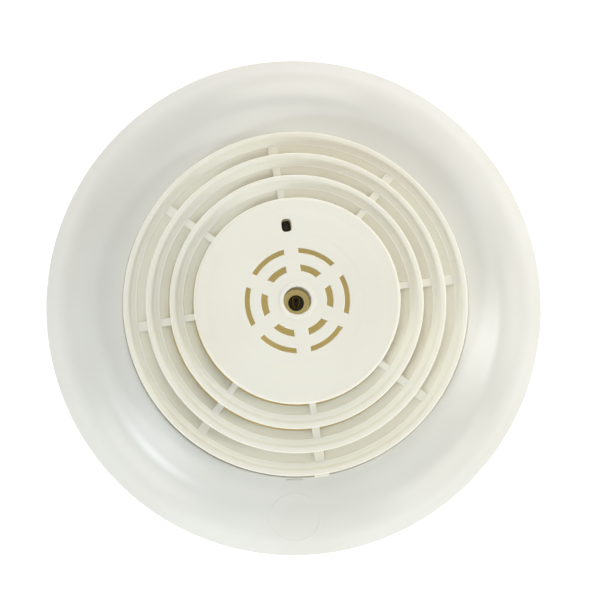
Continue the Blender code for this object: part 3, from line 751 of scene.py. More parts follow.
@dataclass
class MountingBase:
    """The moulded base: the domed flange, the cup that takes the head and the floor."""

    flange_radius: float = 77.5 * MM
    rim_height: float = 1.6 * MM
    mouth_radius: float = 51.5 * MM
    mouth_height: float = 19.5 * MM
    dome_corner: tuple[float, float] = (68.28 * MM, 16.04 * MM)
    dome_radius: float = 39.0 * MM
    wall: float = 2.2 * MM
    floor: float = 2.5 * MM
    wire_hole: float = 14.0 * MM
    slot_half_width: float = 2.25 * MM
    slots: tuple[tuple[float, float], ...] = ((37.0 * MM, 43.6 * MM), (26.5 * MM, 33.5 * MM))
    seat_margin: float = 1.2 * MM
    seat_height: float = 0.4 * MM
    mark_bearing: float = 180.4
    mark_width: float = 4.4 * MM
    ledge_bearing: float = 47.0
    ledge_bore: float = 47.5 * MM
    ledge_heights: tuple[float, float] = (6.3 * MM, 7.9 * MM)
    ledge_length: float = 15.0 * MM
    terminal_radius: float = 33.0 * MM
    terminal_top: float = 4.5 * MM
    terminal_bearing: float = 43.0
    terminal_width: float = 8.6 * MM
    pad_bearing: float = 76.0
    pad_size: tuple[float, float] = (3.0 * MM, 4.6 * MM)
    badge_radius: float = 7.6 * MM
    badge_distance: float = 64.2 * MM
    badge_relief: float = 0.09 * MM
    badge_root: float = 0.3 * MM
    badge_half_widths: tuple[float, float] = (0.3 * MM, 0.5 * MM)

    def floor_rows(self) -> np.ndarray:
        """Radii of the floor's grid lines, with lines at the ends of the slots and their seats."""
        ends = []
        for low, high in self.slots:
            seat = (low - self.seat_margin, high + self.seat_margin)
            ends += [low, high, *seat, seat[0] - 0.12 * MM, seat[1] + 0.12 * MM]
        between = np.arange(17 * MM, 51 * MM, 3.2 * MM)
        clear = [r for r in between if min(abs(r - e) for e in ends) > 0.6 * MM]
        return np.sort(np.array([self.wire_hole + 0.3 * MM, *clear, *ends]))

    def columns(self) -> SpokedColumns:
        """Grid lines that follow the sides of the four screw slots and of their seats."""
        seat = self.slot_half_width + self.seat_margin
        slot = self.slot_half_width / seat
        inside = np.array([-1, -(1 + slot) / 2, -slot, -slot / 2, 0, slot / 2, slot, (1 + slot) / 2, 1])
        between = np.array([0.003, *np.linspace(0.012, 0.988, 90), 0.997])
        limits = (25 * MM, 45.2 * MM)
        return SpokedColumns(4, 0.0, seat, limits, inside, between)

    def shell(self) -> Surface:
        """The base's skin: floor, cup, flange and underside as one closed grid with slots."""
        rows = self.floor_rows()
        cup = self.mouth_radius + self.wall
        rim_inside = self.flange_radius - self.wall
        corner_x, corner_z = self.dome_corner
        hole = self.wire_hole
        outside = rounded_path(
            [
                (rows[-1], self.floor, 0.0),
                (self.mouth_radius, self.floor, 0.8 * MM),
                (self.mouth_radius, self.mouth_height, 0.5 * MM),
                (corner_x, corner_z, self.dome_radius),
                (self.flange_radius, self.rim_height, 1.5 * MM),
                (self.flange_radius, 0.0, 0.35 * MM),
                (rim_inside, 0.0, 0.25 * MM),
                (rim_inside + 0.05 * MM, 1.2 * MM, 0.6 * MM),
                (corner_x - 1.25 * MM, corner_z - 1.9 * MM, self.dome_radius),
                (cup, self.mouth_height - self.wall, 0.6 * MM),
                (cup, 0.0, 0.3 * MM),
                (rows[-1], 0.0, 0.0),
            ]
        )
        hole_top = [(hole, self.floor - 0.3 * MM), (hole + 0.09 * MM, self.floor - 0.09 * MM)]
        floor_top = [(r, self.floor) for r in rows[:-1]]
        floor_bottom = [(r, 0.0) for r in rows[-2::-1]]
        hole_bottom = [(hole, 0.0)]
        path = np.array([*hole_top, *floor_top, *outside, *floor_bottom, *hole_bottom])
        columns = self.columns()
        grid = revolved(path, columns.at(path[:, 0]))
        return self.with_slots(grid, rows, len(hole_top), len(path) - len(hole_bottom) - 1)

    def with_slots(self, grid: np.ndarray, rows: np.ndarray, top: int, bottom: int) -> Surface:
        """Open the screw slots in the shell's grid and raise the seats around them.

        A sector of the grid starts with nine lines: its seat lies between lines 0 and 8, and its
        slot between lines 2 and 6.

        Args:
            grid: The shell's points.
            rows: The floor's radii.
            top: The grid row of the floor's innermost top line.
            bottom: The grid row of its innermost bottom line; the radii run backwards from it.

        Returns:
            The shell with walls in its slots.
        """
        per_sector = grid.shape[1] // 4
        middle = (rows[:-1] + rows[1:]) / 2
        holes = np.zeros((len(rows) - 1, grid.shape[1]), bool)
        tiny = 0.001 * MM
        for sector in range(4):
            low, high = self.slots[sector % 2]
            first = sector * per_sector
            open_rows = (middle > low) & (middle < high)
            holes[open_rows, first + 2 : first + 6] = True
            low, high = low - self.seat_margin - tiny, high + self.seat_margin + tiny
            raised = top + np.nonzero((rows > low) & (rows < high))[0]
            grid[raised[0] : raised[-1] + 1, first : first + 9, 2] += self.seat_height
        keep = np.ones(grid.shape[:2], bool)
        keep[top : top + len(holes)] &= ~holes
        keep[bottom - len(holes) : bottom] &= ~holes[::-1]
        shell = Surface.from_grid(grid, close_rows=True, close_columns=True, keep=keep)
        numbers = np.arange(grid.shape[0] * grid.shape[1]).reshape(grid.shape[:2])
        top_points = numbers[top : top + len(rows)]
        bottom_points = numbers[bottom - len(rows) + 1 : bottom + 1][::-1]
        walls = walls_of_holes(holes, top_points, bottom_points)
        return Surface(shell.points, np.concatenate([shell.quads, walls]))

    def dome(self, radius: np.ndarray) -> np.ndarray:
        """Height of the flange's top: a circle that touches the straight runs to its corner.

        The circle touches each run where the fillet of the outside's path starts, and its centre
        lies on the bisector of the two runs.
        """
        corner = np.array(self.dome_corner)
        start = np.array([self.mouth_radius, self.mouth_height])
        end = np.array([self.flange_radius, self.rim_height])
        back, ahead = start - corner, end - corner
        back, ahead = back / np.linalg.norm(back), ahead / np.linalg.norm(ahead)
        half = math.acos(np.clip(back @ ahead, -1, 1)) / 2
        room = 0.48 * min(np.linalg.norm(start - corner), np.linalg.norm(end - corner))
        curve = min(self.dome_radius, room * math.tan(half))
        centre = corner + (back + ahead) / np.linalg.norm(back + ahead) * curve / math.sin(half)
        inside = centre[1] + np.sqrt(np.maximum(curve**2 - (radius - centre[0]) ** 2, 0))
        left = start[1] + (radius - start[0]) * (corner - start)[1] / (corner - start)[0]
        right = end[1] + (radius - end[0]) * (corner - end)[1] / (corner - end)[0]
        reach = curve / math.tan(half)
        touch = (corner + back * reach)[0], (corner + ahead * reach)[0]
        return np.where(radius < touch[0], left, np.where(radius > touch[1], right, inside))

    def badge(self) -> Surface:
        """A plain shallow ring on the flange, which follows its dome."""
        radius, relief, root = self.badge_radius, self.badge_relief, -self.badge_root
        top, foot = self.badge_half_widths
        section = rounded_path(
            [
                (radius - foot, root, 0.0),
                (radius - top, relief, 0.12 * MM),
                (radius + top, relief, 0.12 * MM),
                (radius + foot, root, 0.0),
            ]
        )
        grid = revolved(section, around(160))
        grid[..., 1] -= self.badge_distance
        grid[..., 2] += self.dome(np.hypot(grid[..., 0], grid[..., 1]))
        return Surface.from_grid(grid, close_rows=True, close_columns=True)

    def fittings(self) -> list[Surface]:
        """The ledges, terminal blocks, contact pads and the turn mark."""
        mouth, wall = self.mouth_radius, self.wall
        made = []
        for i in range(3):
            bearing, radii = self.ledge_bearing + 120 * i, (self.ledge_bore, mouth + wall / 2)
            heights, length = self.ledge_heights, self.ledge_length
            made.append(curved_block(bearing, radii, heights, length, 0.25 * MM))
        heights, middle = (self.floor - 0.5 * MM, self.terminal_top), self.terminal_radius
        for i in range(4):
            for first, width, length in (
                (self.terminal_bearing, self.terminal_width, self.terminal_width),
                (self.pad_bearing, *self.pad_size),
            ):
                radii = (middle - length / 2, middle + length / 2)
                made.append(block_on(first + 90 * i, radii, heights, width, 0.3 * MM))
        radii = (mouth + 0.75 * MM, mouth + 1.65 * MM)
        heights = (self.mouth_height - 1.6 * MM, self.mouth_height + 0.3 * MM)
        made.append(curved_block(self.mark_bearing, radii, heights, self.mark_width, 0.15 * MM))
        return made

    def build(self) -> None:
        """Make the base."""
        surface = Surface.joined([self.shell(), self.badge(), *self.fittings()])
        make_piece("base_shell", surface, FLANGE_ABS, Body.BASE, ("base_body",))


@dataclass
class FrontCover:
    """The head's cover: a skirt, three louvre tiers, the centre disc and the bore."""

    radii: tuple[float, ...] = (50.4 * MM, 43.1 * MM, 35.8 * MM)
    crests: tuple[float, ...] = (29.0 * MM, 36.0 * MM, 43.0 * MM)
    crease: float = 2.3 * MM
    band: float = 3.9 * MM
    inner_lips: tuple[float, float] = (6.3 * MM, 6.4 * MM)
    bead: float = 0.12 * MM
    crease_drop: float = 0.8 * MM
    band_drop: float = 1.3 * MM
    lip_drop: float = 3.4 * MM
    panel: float = 1.1 * MM
    wall: float = 1.2 * MM
    skirt_wall: float = 2.0 * MM
    skirt_bottom: float = 10.9 * MM
    ribs: int = 8
    rib_bearing: float = -8.7
    rib_widths: tuple[float, ...] = (2.85 * MM, 2.2 * MM, 1.85 * MM)
    disc_radius: float = 28.6 * MM
    disc_top: float = 50.0 * MM
    disc_thickness: float = 2.0 * MM
    bore_radius: float = 3.83 * MM
    bore_wall: float = 1.2 * MM
    bore_bottom: float = 30.3 * MM
    spoke_bearing: float = -7.3
    spoke_half_width: float = 2.0 * MM
    far_half_width: float = 3.0 * MM
    vents: tuple[tuple[float, float], ...] = ((8.2 * MM, 9.95 * MM), (13.15 * MM, 14.5 * MM))
    window: tuple[float, float, float] = (21.0 * MM, 1.35 * MM, 1.8 * MM)
    window_offset: float = -0.37 * MM
    window_corner: float = 1.0 * MM
    window_sleeve: float = 2.9 * MM
    edge: float = 0.32 * MM
    key_bearing: float = 171.4

    def crest(self, tier: int) -> list[tuple[float, float, float]]:
        """A tier's top from its band to its outer wall, as corners with fillets."""
        outer, crest = self.radii[tier], self.crests[tier]
        edge, level = outer - self.band, crest - self.band_drop
        return [
            (edge - 0.05 * MM, level - 0.12 * MM, 0.1 * MM),
            (edge, level + self.bead, 0.1 * MM),
            (edge + 0.28 * MM, level + self.bead, 0.12 * MM),
            (edge + 0.42 * MM, level + 0.1 * MM, 0.1 * MM),
            (outer - self.crease, crest - self.crease_drop, 0.05 * MM),
            (outer - 1.55 * MM, crest, 0.5 * MM),
            (outer, crest, 1.1 * MM),
        ]

    def skirt_and_tiers(self) -> Surface:
        """The skirt with the outer and the second tier, whose wall rises from the outer panel."""
        first, second = self.radii[:2]
        root = self.crests[0] - self.lip_drop
        lip = self.crests[1] - self.lip_drop
        reach = second - self.inner_lips[0]
        under = self.crests[0] - self.band_drop
        corners = [(reach, lip, 0.3 * MM), *self.crest(1), (second, root, 0.25 * MM)]
        corners += self.crest(0)
        corners += [
            (first, self.skirt_bottom, 0.4 * MM),
            (first - self.skirt_wall, self.skirt_bottom, 0.4 * MM),
            (first - self.skirt_wall, under - self.skirt_wall, 0.5 * MM),
            (first - self.band, under - self.panel - 0.2 * MM, 0.5 * MM),
            (second, root - self.panel, 0.3 * MM),
            (second - self.wall, root - self.panel, 0.3 * MM),
            (second - self.wall, self.crests[1] - self.band_drop - self.panel, 0.5 * MM),
            (second - self.band, self.crests[1] - self.band_drop - self.panel, 0.3 * MM),
            (reach, lip - self.panel, 0.3 * MM),
        ]
        return ring(corners)

    def third_tier(self) -> Surface:
        """The third tier, which only its ribs hold."""
        outer, crest = self.radii[2], self.crests[2]
        bottom = self.crests[1] - self.lip_drop - self.panel - 0.5 * MM
        lip = crest - self.lip_drop
        reach = outer - self.inner_lips[1]
        corners = [(reach, lip, 0.3 * MM), *self.crest(2)]
        corners += [
            (outer, bottom, 0.3 * MM),
            (outer - self.wall, bottom, 0.3 * MM),
            (outer - self.wall, crest - self.band_drop - self.panel, 0.5 * MM),
            (outer - self.band, crest - self.band_drop - self.panel, 0.3 * MM),
            (reach, lip - self.panel, 0.3 * MM),
        ]
        return ring(corners)

    def rib_blocks(self) -> list[Surface]:
        """The ribs, level with each band, from inside the tier to inside the next wall."""
        walls = (*self.radii[1:], self.disc_radius)
        made = []
        for tier, wall in enumerate(walls):
            radii = (wall - self.wall / 2, self.radii[tier] - self.band + 0.2 * MM)
            high = self.crests[tier] - self.band_drop + self.bead
            low = self.crests[tier] - self.lip_drop - self.panel + 0.2 * MM
            for i in range(self.ribs):
                bearing = self.rib_bearing + i * 360 / self.ribs
                made.append(block_on(bearing, radii, (low, high), self.rib_widths[tier], 0.12 * MM))
        return made

    def plate_rows(self) -> np.ndarray:
        """Radii of the disc's grid lines: fillet lines beside each opening, and the soft bands."""
        fillet = self.edge * np.array([0.0, 0.12, 0.35, 0.65, 1.0])
        middle, _, reach = self.window
        rows = [5.35 * MM, 6.2 * MM, 7.2 * MM, 11.5 * MM, 16.2 * MM, 17.6 * MM]
        for low, high in self.vents:
            rows += [*(low - fillet), *(high + fillet), (2 * low + high) / 3, (low + 2 * high) / 3]
        corner = self.window_corner * np.sin(np.radians([0, 22.5, 45, 67.5, 90]))
        straight = reach - self.window_corner
        for side in (-1, 1):
            rows += [*(middle + side * (straight + corner)), *(middle + side * (reach + fillet[1:]))]
        rows += [middle, 18.4 * MM, 18.9 * MM, 24.5 * MM, 24.9 * MM, 25.6 * MM, 26.5 * MM]
        return np.sort(np.unique(np.round(rows, 7)))

    def plate_top(self, radius: np.ndarray) -> np.ndarray:
        """Height of the disc's top: flat, with a band raised by a tenth and a crowned border.

        The band rises smoothly at 18.4 mm and falls at 24.7 mm. The border falls with the square
        of the distance outwards.
        """
        band = smooth_step(radius, 18.3 * MM, 18.9 * MM) - smooth_step(radius, 24.4 * MM, 24.9 * MM)
        border = np.clip((radius - 24.9 * MM) / (3.7 * MM), 0, 1) ** 2
        return self.disc_top + 0.09 * MM * band - 0.12 * MM * border

    def sideways_lines(self, radii: np.ndarray) -> np.ndarray:
        """Distances from a spoke's middle of the grid lines inside it, which follow the window.

        The window is a rounded rectangle: its half width shrinks by c - sqrt(c^2 - y^2) over a
        corner of radius c, where y is how far the row has gone into the corner.
        """
        middle, half, reach = self.window
        corner = self.window_corner
        into = np.clip(np.abs(radii - middle) - (reach - corner), 0, corner)
        side = half - corner + np.sqrt(np.maximum(corner**2 - into**2, 0))
        fillet = self.edge * np.array([0.12, 0.35, 0.65, 1.0])
        follow = side[:, None] + np.concatenate([[0.0], fillet])
        far = smooth_step(radii, 15.5 * MM, 18.4 * MM)[:, None]
        spoke = self.spoke_half_width + far * (self.far_half_width - self.spoke_half_width)
        outer = spoke - self.edge * np.array([1.0, 0.65, 0.35, 0.12, 0.0])
        near = np.concatenate([np.zeros((len(radii), 1)), side[:, None] * 0.5, follow], axis=1)
        middle = np.concatenate([-near[:, :0:-1], near], axis=1) + far * self.window_offset
        return np.concatenate([-outer[:, ::-1], middle, outer], axis=1)

    def distance_to_vents(self, radius: np.ndarray, sideways: np.ndarray) -> np.ndarray:
        """How far a point lies outside the nearest vent.

        A vent is open between two radii and beyond the spoke's side; the distance outside both
        limits at once is that to its corner.

        Args:
            radius: The point's radius.
            sideways: Its distance from the middle of the nearest spoke.

        Returns:
            The distance, or 0 inside a vent.
        """
        beside = np.maximum(self.spoke_half_width - sideways, 0)
        nearest = np.full(np.broadcast_shapes(radius.shape, sideways.shape), 1.0)
        for low, high in self.vents:
            along = np.maximum(np.maximum(low - radius, radius - high), 0)
            nearest = np.minimum(nearest, np.hypot(along, beside))
        return nearest

    def distance_to_window(self, radius: np.ndarray, sideways: np.ndarray) -> np.ndarray:
        """How far a point lies outside the window's rounded rectangle."""
        middle, half, reach = self.window
        corner = self.window_corner
        across = np.maximum(sideways - (half - corner), 0)
        along = np.maximum(np.abs(radius - middle) - (reach - corner), 0)
        return np.maximum(np.hypot(across, along) - corner, 0)

    def centre_disc(self) -> Surface:
        """The disc, its rim and the bore, as one closed grid with vents and the window."""
        rows = self.plate_rows()
        radius, top = self.disc_radius, self.disc_top
        rim_bottom = self.crests[2] - self.lip_drop - self.panel - 0.5 * MM
        tube = self.bore_radius + self.bore_wall
        inside = rounded_path(
            [
                (self.bore_radius, self.bore_bottom, 0.0),
                (self.bore_radius, top + 0.4 * MM, 0.5 * MM),
                (tube - 0.1 * MM, top + 0.4 * MM, 0.45 * MM),
                (tube + 0.15 * MM, top, 0.2 * MM),
                (rows[0], top, 0.0),
            ]
        )[:-1]
        edge_top = float(self.plate_top(np.array([radius - 1.4 * MM]))[0])
        rim = rounded_path(
            [
                (rows[-1], float(self.plate_top(rows[-1:])[0]), 0.0),
                (radius, edge_top, 1.35 * MM),
                (radius, rim_bottom, 0.3 * MM),
                (radius - self.wall, rim_bottom, 0.3 * MM),
                (radius - self.wall, top - self.disc_thickness, 0.4 * MM),
                (rows[-1], top - self.disc_thickness, 0.0),
            ]
        )[1:-1]
        underside = np.stack([rows[::-1], np.full(len(rows), top - self.disc_thickness)], axis=-1)
        outside = rounded_path(
            [
                (rows[0], top - self.disc_thickness, 0.0),
                (tube, top - self.disc_thickness, 0.3 * MM),
                (tube, self.bore_bottom, 0.2 * MM),
                (self.bore_radius + 0.1 * MM, self.bore_bottom, 0.0),
            ]
        )[1:]
        plate = np.stack([rows, self.plate_top(rows)], axis=-1)
        path = np.concatenate([inside, plate, rim, underside, outside])
        return self.pierced(path, rows, len(inside), len(inside) + len(rows) + len(rim))

    def pierced(self, path: np.ndarray, rows: np.ndarray, top: int, under: int) -> Surface:
        """Open the vents and the window in the disc's grid and round their upper edges.

        Args:
            path: Radius and height of every row.
            rows: The plate's radii.
            top: The row where the plate's top starts.
            under: The row where its underside starts, which runs inwards.

        Returns:
            The disc's surface.
        """
        lines = self.sideways_lines(path[:, 0])
        between = np.linspace(0, 1, 17)[1:-1]
        limits = (8 * MM, 23.2 * MM)
        columns = SpokedColumns(
            6, self.spoke_bearing, self.spoke_half_width, limits, lines[0], between
        )
        grid = revolved(path, columns.at(path[:, 0], lines))
        plate = slice(top, top + len(rows))
        x, y = grid[plate, :, 0], grid[plate, :, 1]
        step = 2 * math.pi / 6
        bearing = np.arctan2(x, y) - math.radians(self.spoke_bearing)
        off = (bearing + step / 2) % step - step / 2
        sideways = np.abs(rows[:, None] * np.sin(off))
        drop = edge_drop(self.distance_to_vents(rows[:, None], sideways), self.edge)
        first = np.abs((bearing + math.pi) % (2 * math.pi) - math.pi) < step / 2
        from_window = np.abs(rows[:, None] * np.sin(off) - self.window_offset)
        window = np.where(first, self.distance_to_window(rows[:, None], from_window), 1.0)
        grid[plate, :, 2] -= np.maximum(drop, edge_drop(window, self.edge))
        # The sleeve is the plate's underside drawn down around the window.
        sleeve = (window < self.edge * 1.1) * self.window_sleeve
        grid[under : under + len(rows), :, 2] -= sleeve[::-1]
        holes = self.open_cells(rows, lines.shape[1], grid.shape[1])
        keep = np.ones(grid.shape[:2], bool)
        keep[top : top + len(holes)] &= ~holes
        keep[under : under + len(holes)] &= ~holes[::-1]
        disc = Surface.from_grid(grid, close_rows=True, close_columns=True, keep=keep)
        numbers = np.arange(grid.shape[0] * grid.shape[1]).reshape(grid.shape[:2])
        bottom_points = numbers[under : under + len(rows)][::-1]
        walls = walls_of_holes(holes, numbers[plate], bottom_points)
        return Surface(disc.points, np.concatenate([disc.quads, walls]))

    def open_cells(self, rows: np.ndarray, lines: int, columns: int) -> np.ndarray:
        """Which cells of the plate are open, as rows by columns."""
        middle = (rows[:-1] + rows[1:]) / 2
        per_sector = columns // 6
        in_sector = np.arange(columns) % per_sector
        holes = np.zeros((len(middle), columns), bool)
        for low, high in self.vents:
            holes |= ((middle > low) & (middle < high))[:, None] & (in_sector >= lines - 1)
        centre, _, reach = self.window
        spread = lines // 2
        in_window = (np.arange(columns) >= spread - 2) & (np.arange(columns) < spread + 2)
        return holes | ((np.abs(middle - centre) < reach)[:, None] & in_window)

    def fittings(self) -> list[Surface]:
        """The hooks that clip over the rear housing, and the key that shows the head's turn."""
        made = []
        inner = self.radii[0] - self.skirt_wall
        for i in range(3):
            radii = (inner - 0.9 * MM, inner + 0.9 * MM)
            heights = (self.skirt_bottom, self.skirt_bottom + 0.8 * MM)
            made.append(block_on(90 + 120 * i, radii, heights, 8 * MM, 0.15 * MM))
        top = self.crests[0] - 1.0 * MM
        radii = (self.radii[0] - 0.7 * MM, self.radii[0] + 0.65 * MM)
        made.append(curved_block(self.key_bearing, radii, (top - 6 * MM, top), 4.4 * MM, 0.25 * MM))
        return made

    def build(self) -> None:
        """Make the cover."""
        parts = [self.skirt_and_tiers(), self.third_tier(), self.centre_disc()]
        surface = Surface.joined([*parts, *self.rib_blocks(), *self.fittings()])
        make_piece("cover_shell", surface, HEAD_ABS, Body.HEAD, ("front_cover",))


@dataclass
class SensorCore:
    """What lies under the cover: the carrier, the sensing bead on its leads and the light pipe."""

    hole: float = 2.33 * MM
    plateau_radius: float = 27.0 * MM
    plateau: float = 30.0 * MM
    shelf: float = 22.0 * MM
    outer: float = 41.8 * MM
    bottom: float = 14.3 * MM
    wall: float = 1.4 * MM
    pipe_bearing: float = -8.3
    pipe_radius: float = 21.0 * MM
    pipe_middle: float = 33.8 * MM
    pipe_size: tuple[float, float, float] = (2.5 * MM, 3.4 * MM, 23.6 * MM)
    pipe_edge: float = 0.9 * MM
    bead: tuple[float, float, float] = (0.0, 0.85 * MM, 29.0 * MM)
    bead_radius: float = 0.66 * MM
    weld: tuple[float, float, float] = (0.1 * MM, -0.9 * MM, 28.45 * MM)
    weld_radius: float = 0.34 * MM
    lead_radius: float = 0.14 * MM
    board_top: float = 18.6 * MM

    def carrier(self) -> Surface:
        """The inverted bowl with the sensor's hole in its plateau."""
        foot = self.plateau_radius + 11 * MM
        wall = self.wall
        corners = [
            (self.hole, self.plateau, 0.25 * MM),
            (self.plateau_radius, self.plateau, 1.0 * MM),
            (foot, self.shelf, 1.0 * MM),
            (self.outer, self.shelf, 0.4 * MM),
            (self.outer, self.bottom, 0.3 * MM),
            (self.outer - 1.2 * MM, self.bottom, 0.3 * MM),
            (self.outer - 1.2 * MM, self.shelf - wall, 0.4 * MM),
            (foot - wall / 2, self.shelf - wall, 0.8 * MM),
            (self.plateau_radius - wall / 2, self.plateau - wall, 0.8 * MM),
            (self.hole, self.plateau - wall, 0.25 * MM),
        ]
        return ring(corners, 240)

    def lead(self, side: int) -> Surface:
        """One lead: it runs round the bead, narrows to a drop's tip and falls to the board.

        The route's first points are given as distances beside, ahead of and below the
        bead's centre.
        """
        x, y, z = self.bead
        away = np.array([0.08, 0.55, 0.9, 0.98, 0.9, 0.72, 0.5, 0.34]) * MM
        along = np.array([1.0, 0.85, 0.42, -0.1, -0.75, -1.3, -1.85, -2.3]) * MM
        down = np.array([0.35, 0.3, 0.2, 0.15, 0.2, 0.35, 0.7, 1.4]) * MM
        route = [(x + side * a, y + b, z - c) for a, b, c in zip(away, along, down)]
        route.append((side * 0.5 * MM, -1.3 * MM, z - 3.4 * MM))
        route.append((side * 1.1 * MM, -0.2 * MM, z - 7.0 * MM))
        route.append((side * 1.1 * MM, 0.0, self.board_top + 0.3 * MM))
        return tube(smooth_curve(route, 90), self.lead_radius)

    def ball(self, radius: float) -> Surface:
        """A ball as a turned half circle: radius times the sine and cosine of the polar angle."""
        polar = np.linspace(0, math.pi, 17)
        path = radius * np.stack([np.sin(polar), np.cos(polar)], axis=-1)
        return Surface.from_grid(revolved(path, around(28)), close_columns=True)

    def build(self) -> None:
        """Make the carrier, the light pipe, the bead and its leads."""
        carrier = self.carrier()
        make_piece("carrier_shell", carrier, CARRIER_ABS, Body.HEAD, ("sensor_carrier",))
        place = on_bearing(self.pipe_bearing, self.pipe_radius, self.pipe_middle)
        pipe = rounded_block(self.pipe_size, self.pipe_edge).placed(place)
        make_piece("indicator_pipe", pipe, SMOKED_PIPE, Body.HEAD, ("light_pipe",))
        balls = ((self.bead_radius, self.bead), (self.weld_radius, self.weld))
        bead = Surface.joined([self.ball(r).placed(Matrix.Translation(c)) for r, c in balls])
        make_piece("sensing_bead", bead, BEAD_GLASS, Body.HEAD, ("thermistor_bead",))
        for number, side in ((1, -1), (2, 1)):
            name = f"sensing_lead_{number}"
            node = (f"thermistor_lead_{number}",)
            make_piece(name, self.lead(side), COPPER_WIRE, Body.HEAD, node)


@dataclass
class HeadBack:
    """The rear housing with its lugs and posts, and the draught seal around it."""

    radius: float = 48.0 * MM
    top: float = 14.0 * MM
    plate: float = 2.0 * MM
    collar: float = 47.0 * MM
    collar_wall: float = 1.8 * MM
    collar_bottom: float = 3.6 * MM
    seal: tuple[float, float, float, float] = (47.4 * MM, 51.0 * MM, 8.3 * MM, 10.5 * MM)

    def housing(self) -> Surface:
        """The plate and the collar below it, with lugs and board posts."""
        inner, under = self.collar - self.collar_wall, self.top - self.plate
        corners = [
            (0.0, self.top, 0.0),
            (self.radius, self.top, 0.3 * MM),
            (self.radius, under, 0.3 * MM),
            (self.collar, under, 0.3 * MM),
            (self.collar, self.collar_bottom, 0.5 * MM),
            (inner, self.collar_bottom, 0.5 * MM),
            (inner, under, 0.8 * MM),
            (0.0, under, 0.0),
        ]
        made = [solid_of_revolution(corners, 240)]
        for i in range(3):
            radii, heights = (inner + 0.9 * MM, 50.6 * MM), (4.4 * MM, 6.0 * MM)
            made.append(curved_block(30 + 120 * i, radii, heights, 7.5 * MM, 0.25 * MM))
            post = [
                (0.0, 16.7 * MM, 0.0),
                (3 * MM, 16.7 * MM, 0.25 * MM),
                (3 * MM, 13.5 * MM, 0.1 * MM),
                (0.0, 13.5 * MM, 0.0),
            ]
            made.append(solid_of_revolution(post, 48).placed(on_bearing(120 * i, 36 * MM)))
        return Surface.joined(made)

    def seal_ring(self) -> Surface:
        """The seal: a flat ring with rounded edges."""
        inner, outer, low, high = self.seal
        edge = 0.5 * MM
        return ring([(outer, high, edge), (outer, low, edge), (inner, low, edge), (inner, high, edge)])

    def build(self) -> None:
        """Make the housing and the seal."""
        housing = self.housing()
        make_piece("rear_shell", housing, REAR_ABS, Body.HEAD, ("rear_housing",))
        seal = self.seal_ring()
        make_piece("seal_ring", seal, SEAL_RUBBER, Body.SEAL, ("draught_seal",))


@dataclass
class Hardware:
    """The frame's own nodes that keep their shape and only take a finish."""

    finishes: dict = field(
        default_factory=lambda: {
            "circuit_board": GREEN_BOARD_PAINTED_SHADE,
            "controller_ic": BLACK_EPOXY,
            "bridge_rectifier": BLACK_EPOXY,
            "alarm_transistor": BLACK_EPOXY,
            "smoothing_capacitor": SLEEVE,
            "load_resistor": CERAMIC,
            "status_led": RED_LENS,
        }
    )

    def build(self) -> None:
        """Dress the nodes."""
        for node, finish in self.finishes.items():
            dress_node(node, finish)
        for i in range(1, 5):
            dress_node(f"base_terminal_{i}", TINNED_BRASS)
            dress_node(f"head_contact_{i}", TINNED_BRASS)
            dress_node(f"wire_clamp_{i}", ZINC_STEEL)
            dress_node(f"terminal_screw_{i}", ZINC_STEEL)
        for i in range(1, 4):
            dress_node(f"board_screw_{i}", ZINC_STEEL)


@dataclass(frozen=True)
class Lamp:
    """A square soft light that looks at the detector from a bearing and an elevation."""

    name: str
    bearing: float
    elevation: float
    power: float
    tint: str = "#FFFFFF"
    size: float = 0.5
    distance: float = 0.9

    def place(self) -> Vector:
        """Where the lamp stands."""
        bearing, elevation = math.radians(self.bearing), math.radians(self.elevation)
        flat = self.distance * math.cos(elevation)
        height = self.distance * math.sin(elevation)
        return Vector((flat * math.sin(bearing), flat * math.cos(bearing), height))


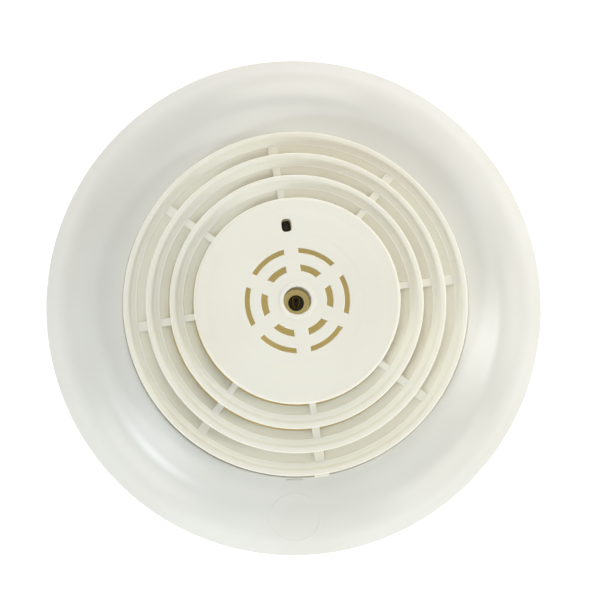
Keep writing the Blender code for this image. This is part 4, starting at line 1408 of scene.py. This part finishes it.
@dataclass
class Studio:
    """A pale floor, soft lights and the camera, almost straight above the sensing end."""

    eye: tuple[float, float, float] = (-6.46 * MM, -13.44 * MM, 400 * MM)
    aim: tuple[float, float, float] = (1.74 * MM, 2.05 * MM, 0.0)
    lens: float = 76.4
    surround: float = 0.18
    surround_tint: str = "#F6F9FF"
    backlight: float = 0.3
    floor_reach: float = 12.0
    floor_gap: float = 0.02 * MM
    bounces: int = 8
    lamps: tuple[Lamp, ...] = (
        Lamp("zenith", 0, 89.9, 0.3, "#FFFAFD", 0.3),
        Lamp("high_top", 355, 64, 1.5, "#FFFDF4", 0.25),
        Lamp("high_right", 98, 52, 1.4, "#FBFCFA", 0.14),
        Lamp("high_left", 225, 50, 1.75, "#EAF6FF", 0.12),
        Lamp("low_top", 0, 18, 2.4, "#FFFCF2"),
        Lamp("low_top_right", 45, 18, 1.1, "#FFEEDF"),
        Lamp("low_right", 90, 18, 1.7, "#FFFDF2"),
        Lamp("low_bottom_right", 135, 18, 1.9, "#FFFCF2"),
        Lamp("low_bottom", 180, 18, 0.75, "#FFFBE8"),
        Lamp("low_bottom_left", 225, 18, 2.2, "#FFFCF4"),
        Lamp("low_left", 270, 18, 0.5, "#FFF4E4"),
        Lamp("low_top_left", 315, 18, 0.5, "#FFEEDD"),
    )

    def camera(self) -> None:
        """Place the camera, looking down with +Y up in the picture."""
        camera = bpy.data.objects.new("camera", bpy.data.cameras.new("camera"))
        bpy.context.scene.collection.objects.link(camera)
        camera.data.lens = self.lens
        camera.data.sensor_width = 36
        camera.data.clip_start = 0.01
        eye, aim = Vector(self.eye), Vector(self.aim)
        back = (eye - aim).normalized()
        right = Vector((0, 1, 0)).cross(back).normalized()
        up = back.cross(right)
        turn = Matrix((right, up, back)).transposed().to_4x4()
        camera.matrix_world = Matrix.Translation(eye) @ turn
        bpy.context.scene.camera = camera

    def floor(self) -> None:
        """A wide pale floor just under the detector."""
        mesh = bpy.data.meshes.new("studio_floor")
        reach, height = self.floor_reach, -self.floor_gap
        corners = [(-reach, -reach), (reach, -reach), (reach, reach), (-reach, reach)]
        mesh.from_pydata([(x, y, height) for x, y in corners], [], [(0, 1, 2, 3)])
        floor = bpy.data.objects.new("studio_floor", mesh)
        bpy.context.scene.collection.objects.link(floor)
        tree = Tree("Paper backdrop, white")
        white = (0.95, 0.95, 0.95, 1.0)
        tree.finish(
            {},
            {
                "Base Color": white,
                "Roughness": 0.9,
                "Emission Color": white,
                "Emission Strength": self.backlight,
            },
        )
        mesh.materials.append(tree.material)

    def lights(self) -> None:
        """A bright surround and the lamps."""
        world = bpy.data.worlds.new("studio")
        world.use_nodes = True
        background = world.node_tree.nodes["Background"]
        background.inputs["Color"].default_value = linear(self.surround_tint)
        background.inputs["Strength"].default_value = self.surround
        bpy.context.scene.world = world
        for lamp in self.lamps:
            light = bpy.data.lights.new(lamp.name, "AREA")
            light.size = lamp.size
            light.energy = lamp.power
            light.color = linear(lamp.tint)[:3]
            holder = bpy.data.objects.new(lamp.name, light)
            holder.location = lamp.place()
            holder.visible_camera = False
            towards = Vector((0.0, 0.0, 0.02)) - lamp.place()
            holder.rotation_euler = towards.to_track_quat("-Z", "Y").to_euler()
            bpy.context.scene.collection.objects.link(holder)

    def build(self) -> None:
        """Set up the studio."""
        bpy.context.scene.view_settings.view_transform = "Standard"
        bpy.context.scene.cycles.diffuse_bounces = self.bounces
        self.camera()
        self.floor()
        self.lights()


def main() -> None:
    """Build the detector and the studio around it."""
    logging.basicConfig(level=logging.INFO, format="%(name)s: %(message)s")
    for assembly in (Studio(), MountingBase(), FrontCover(), SensorCore(), HeadBack(), Hardware()):
        LOG.info("building %s", type(assembly).__name__)
        assembly.build()


if __name__ == "__main__":
    main()
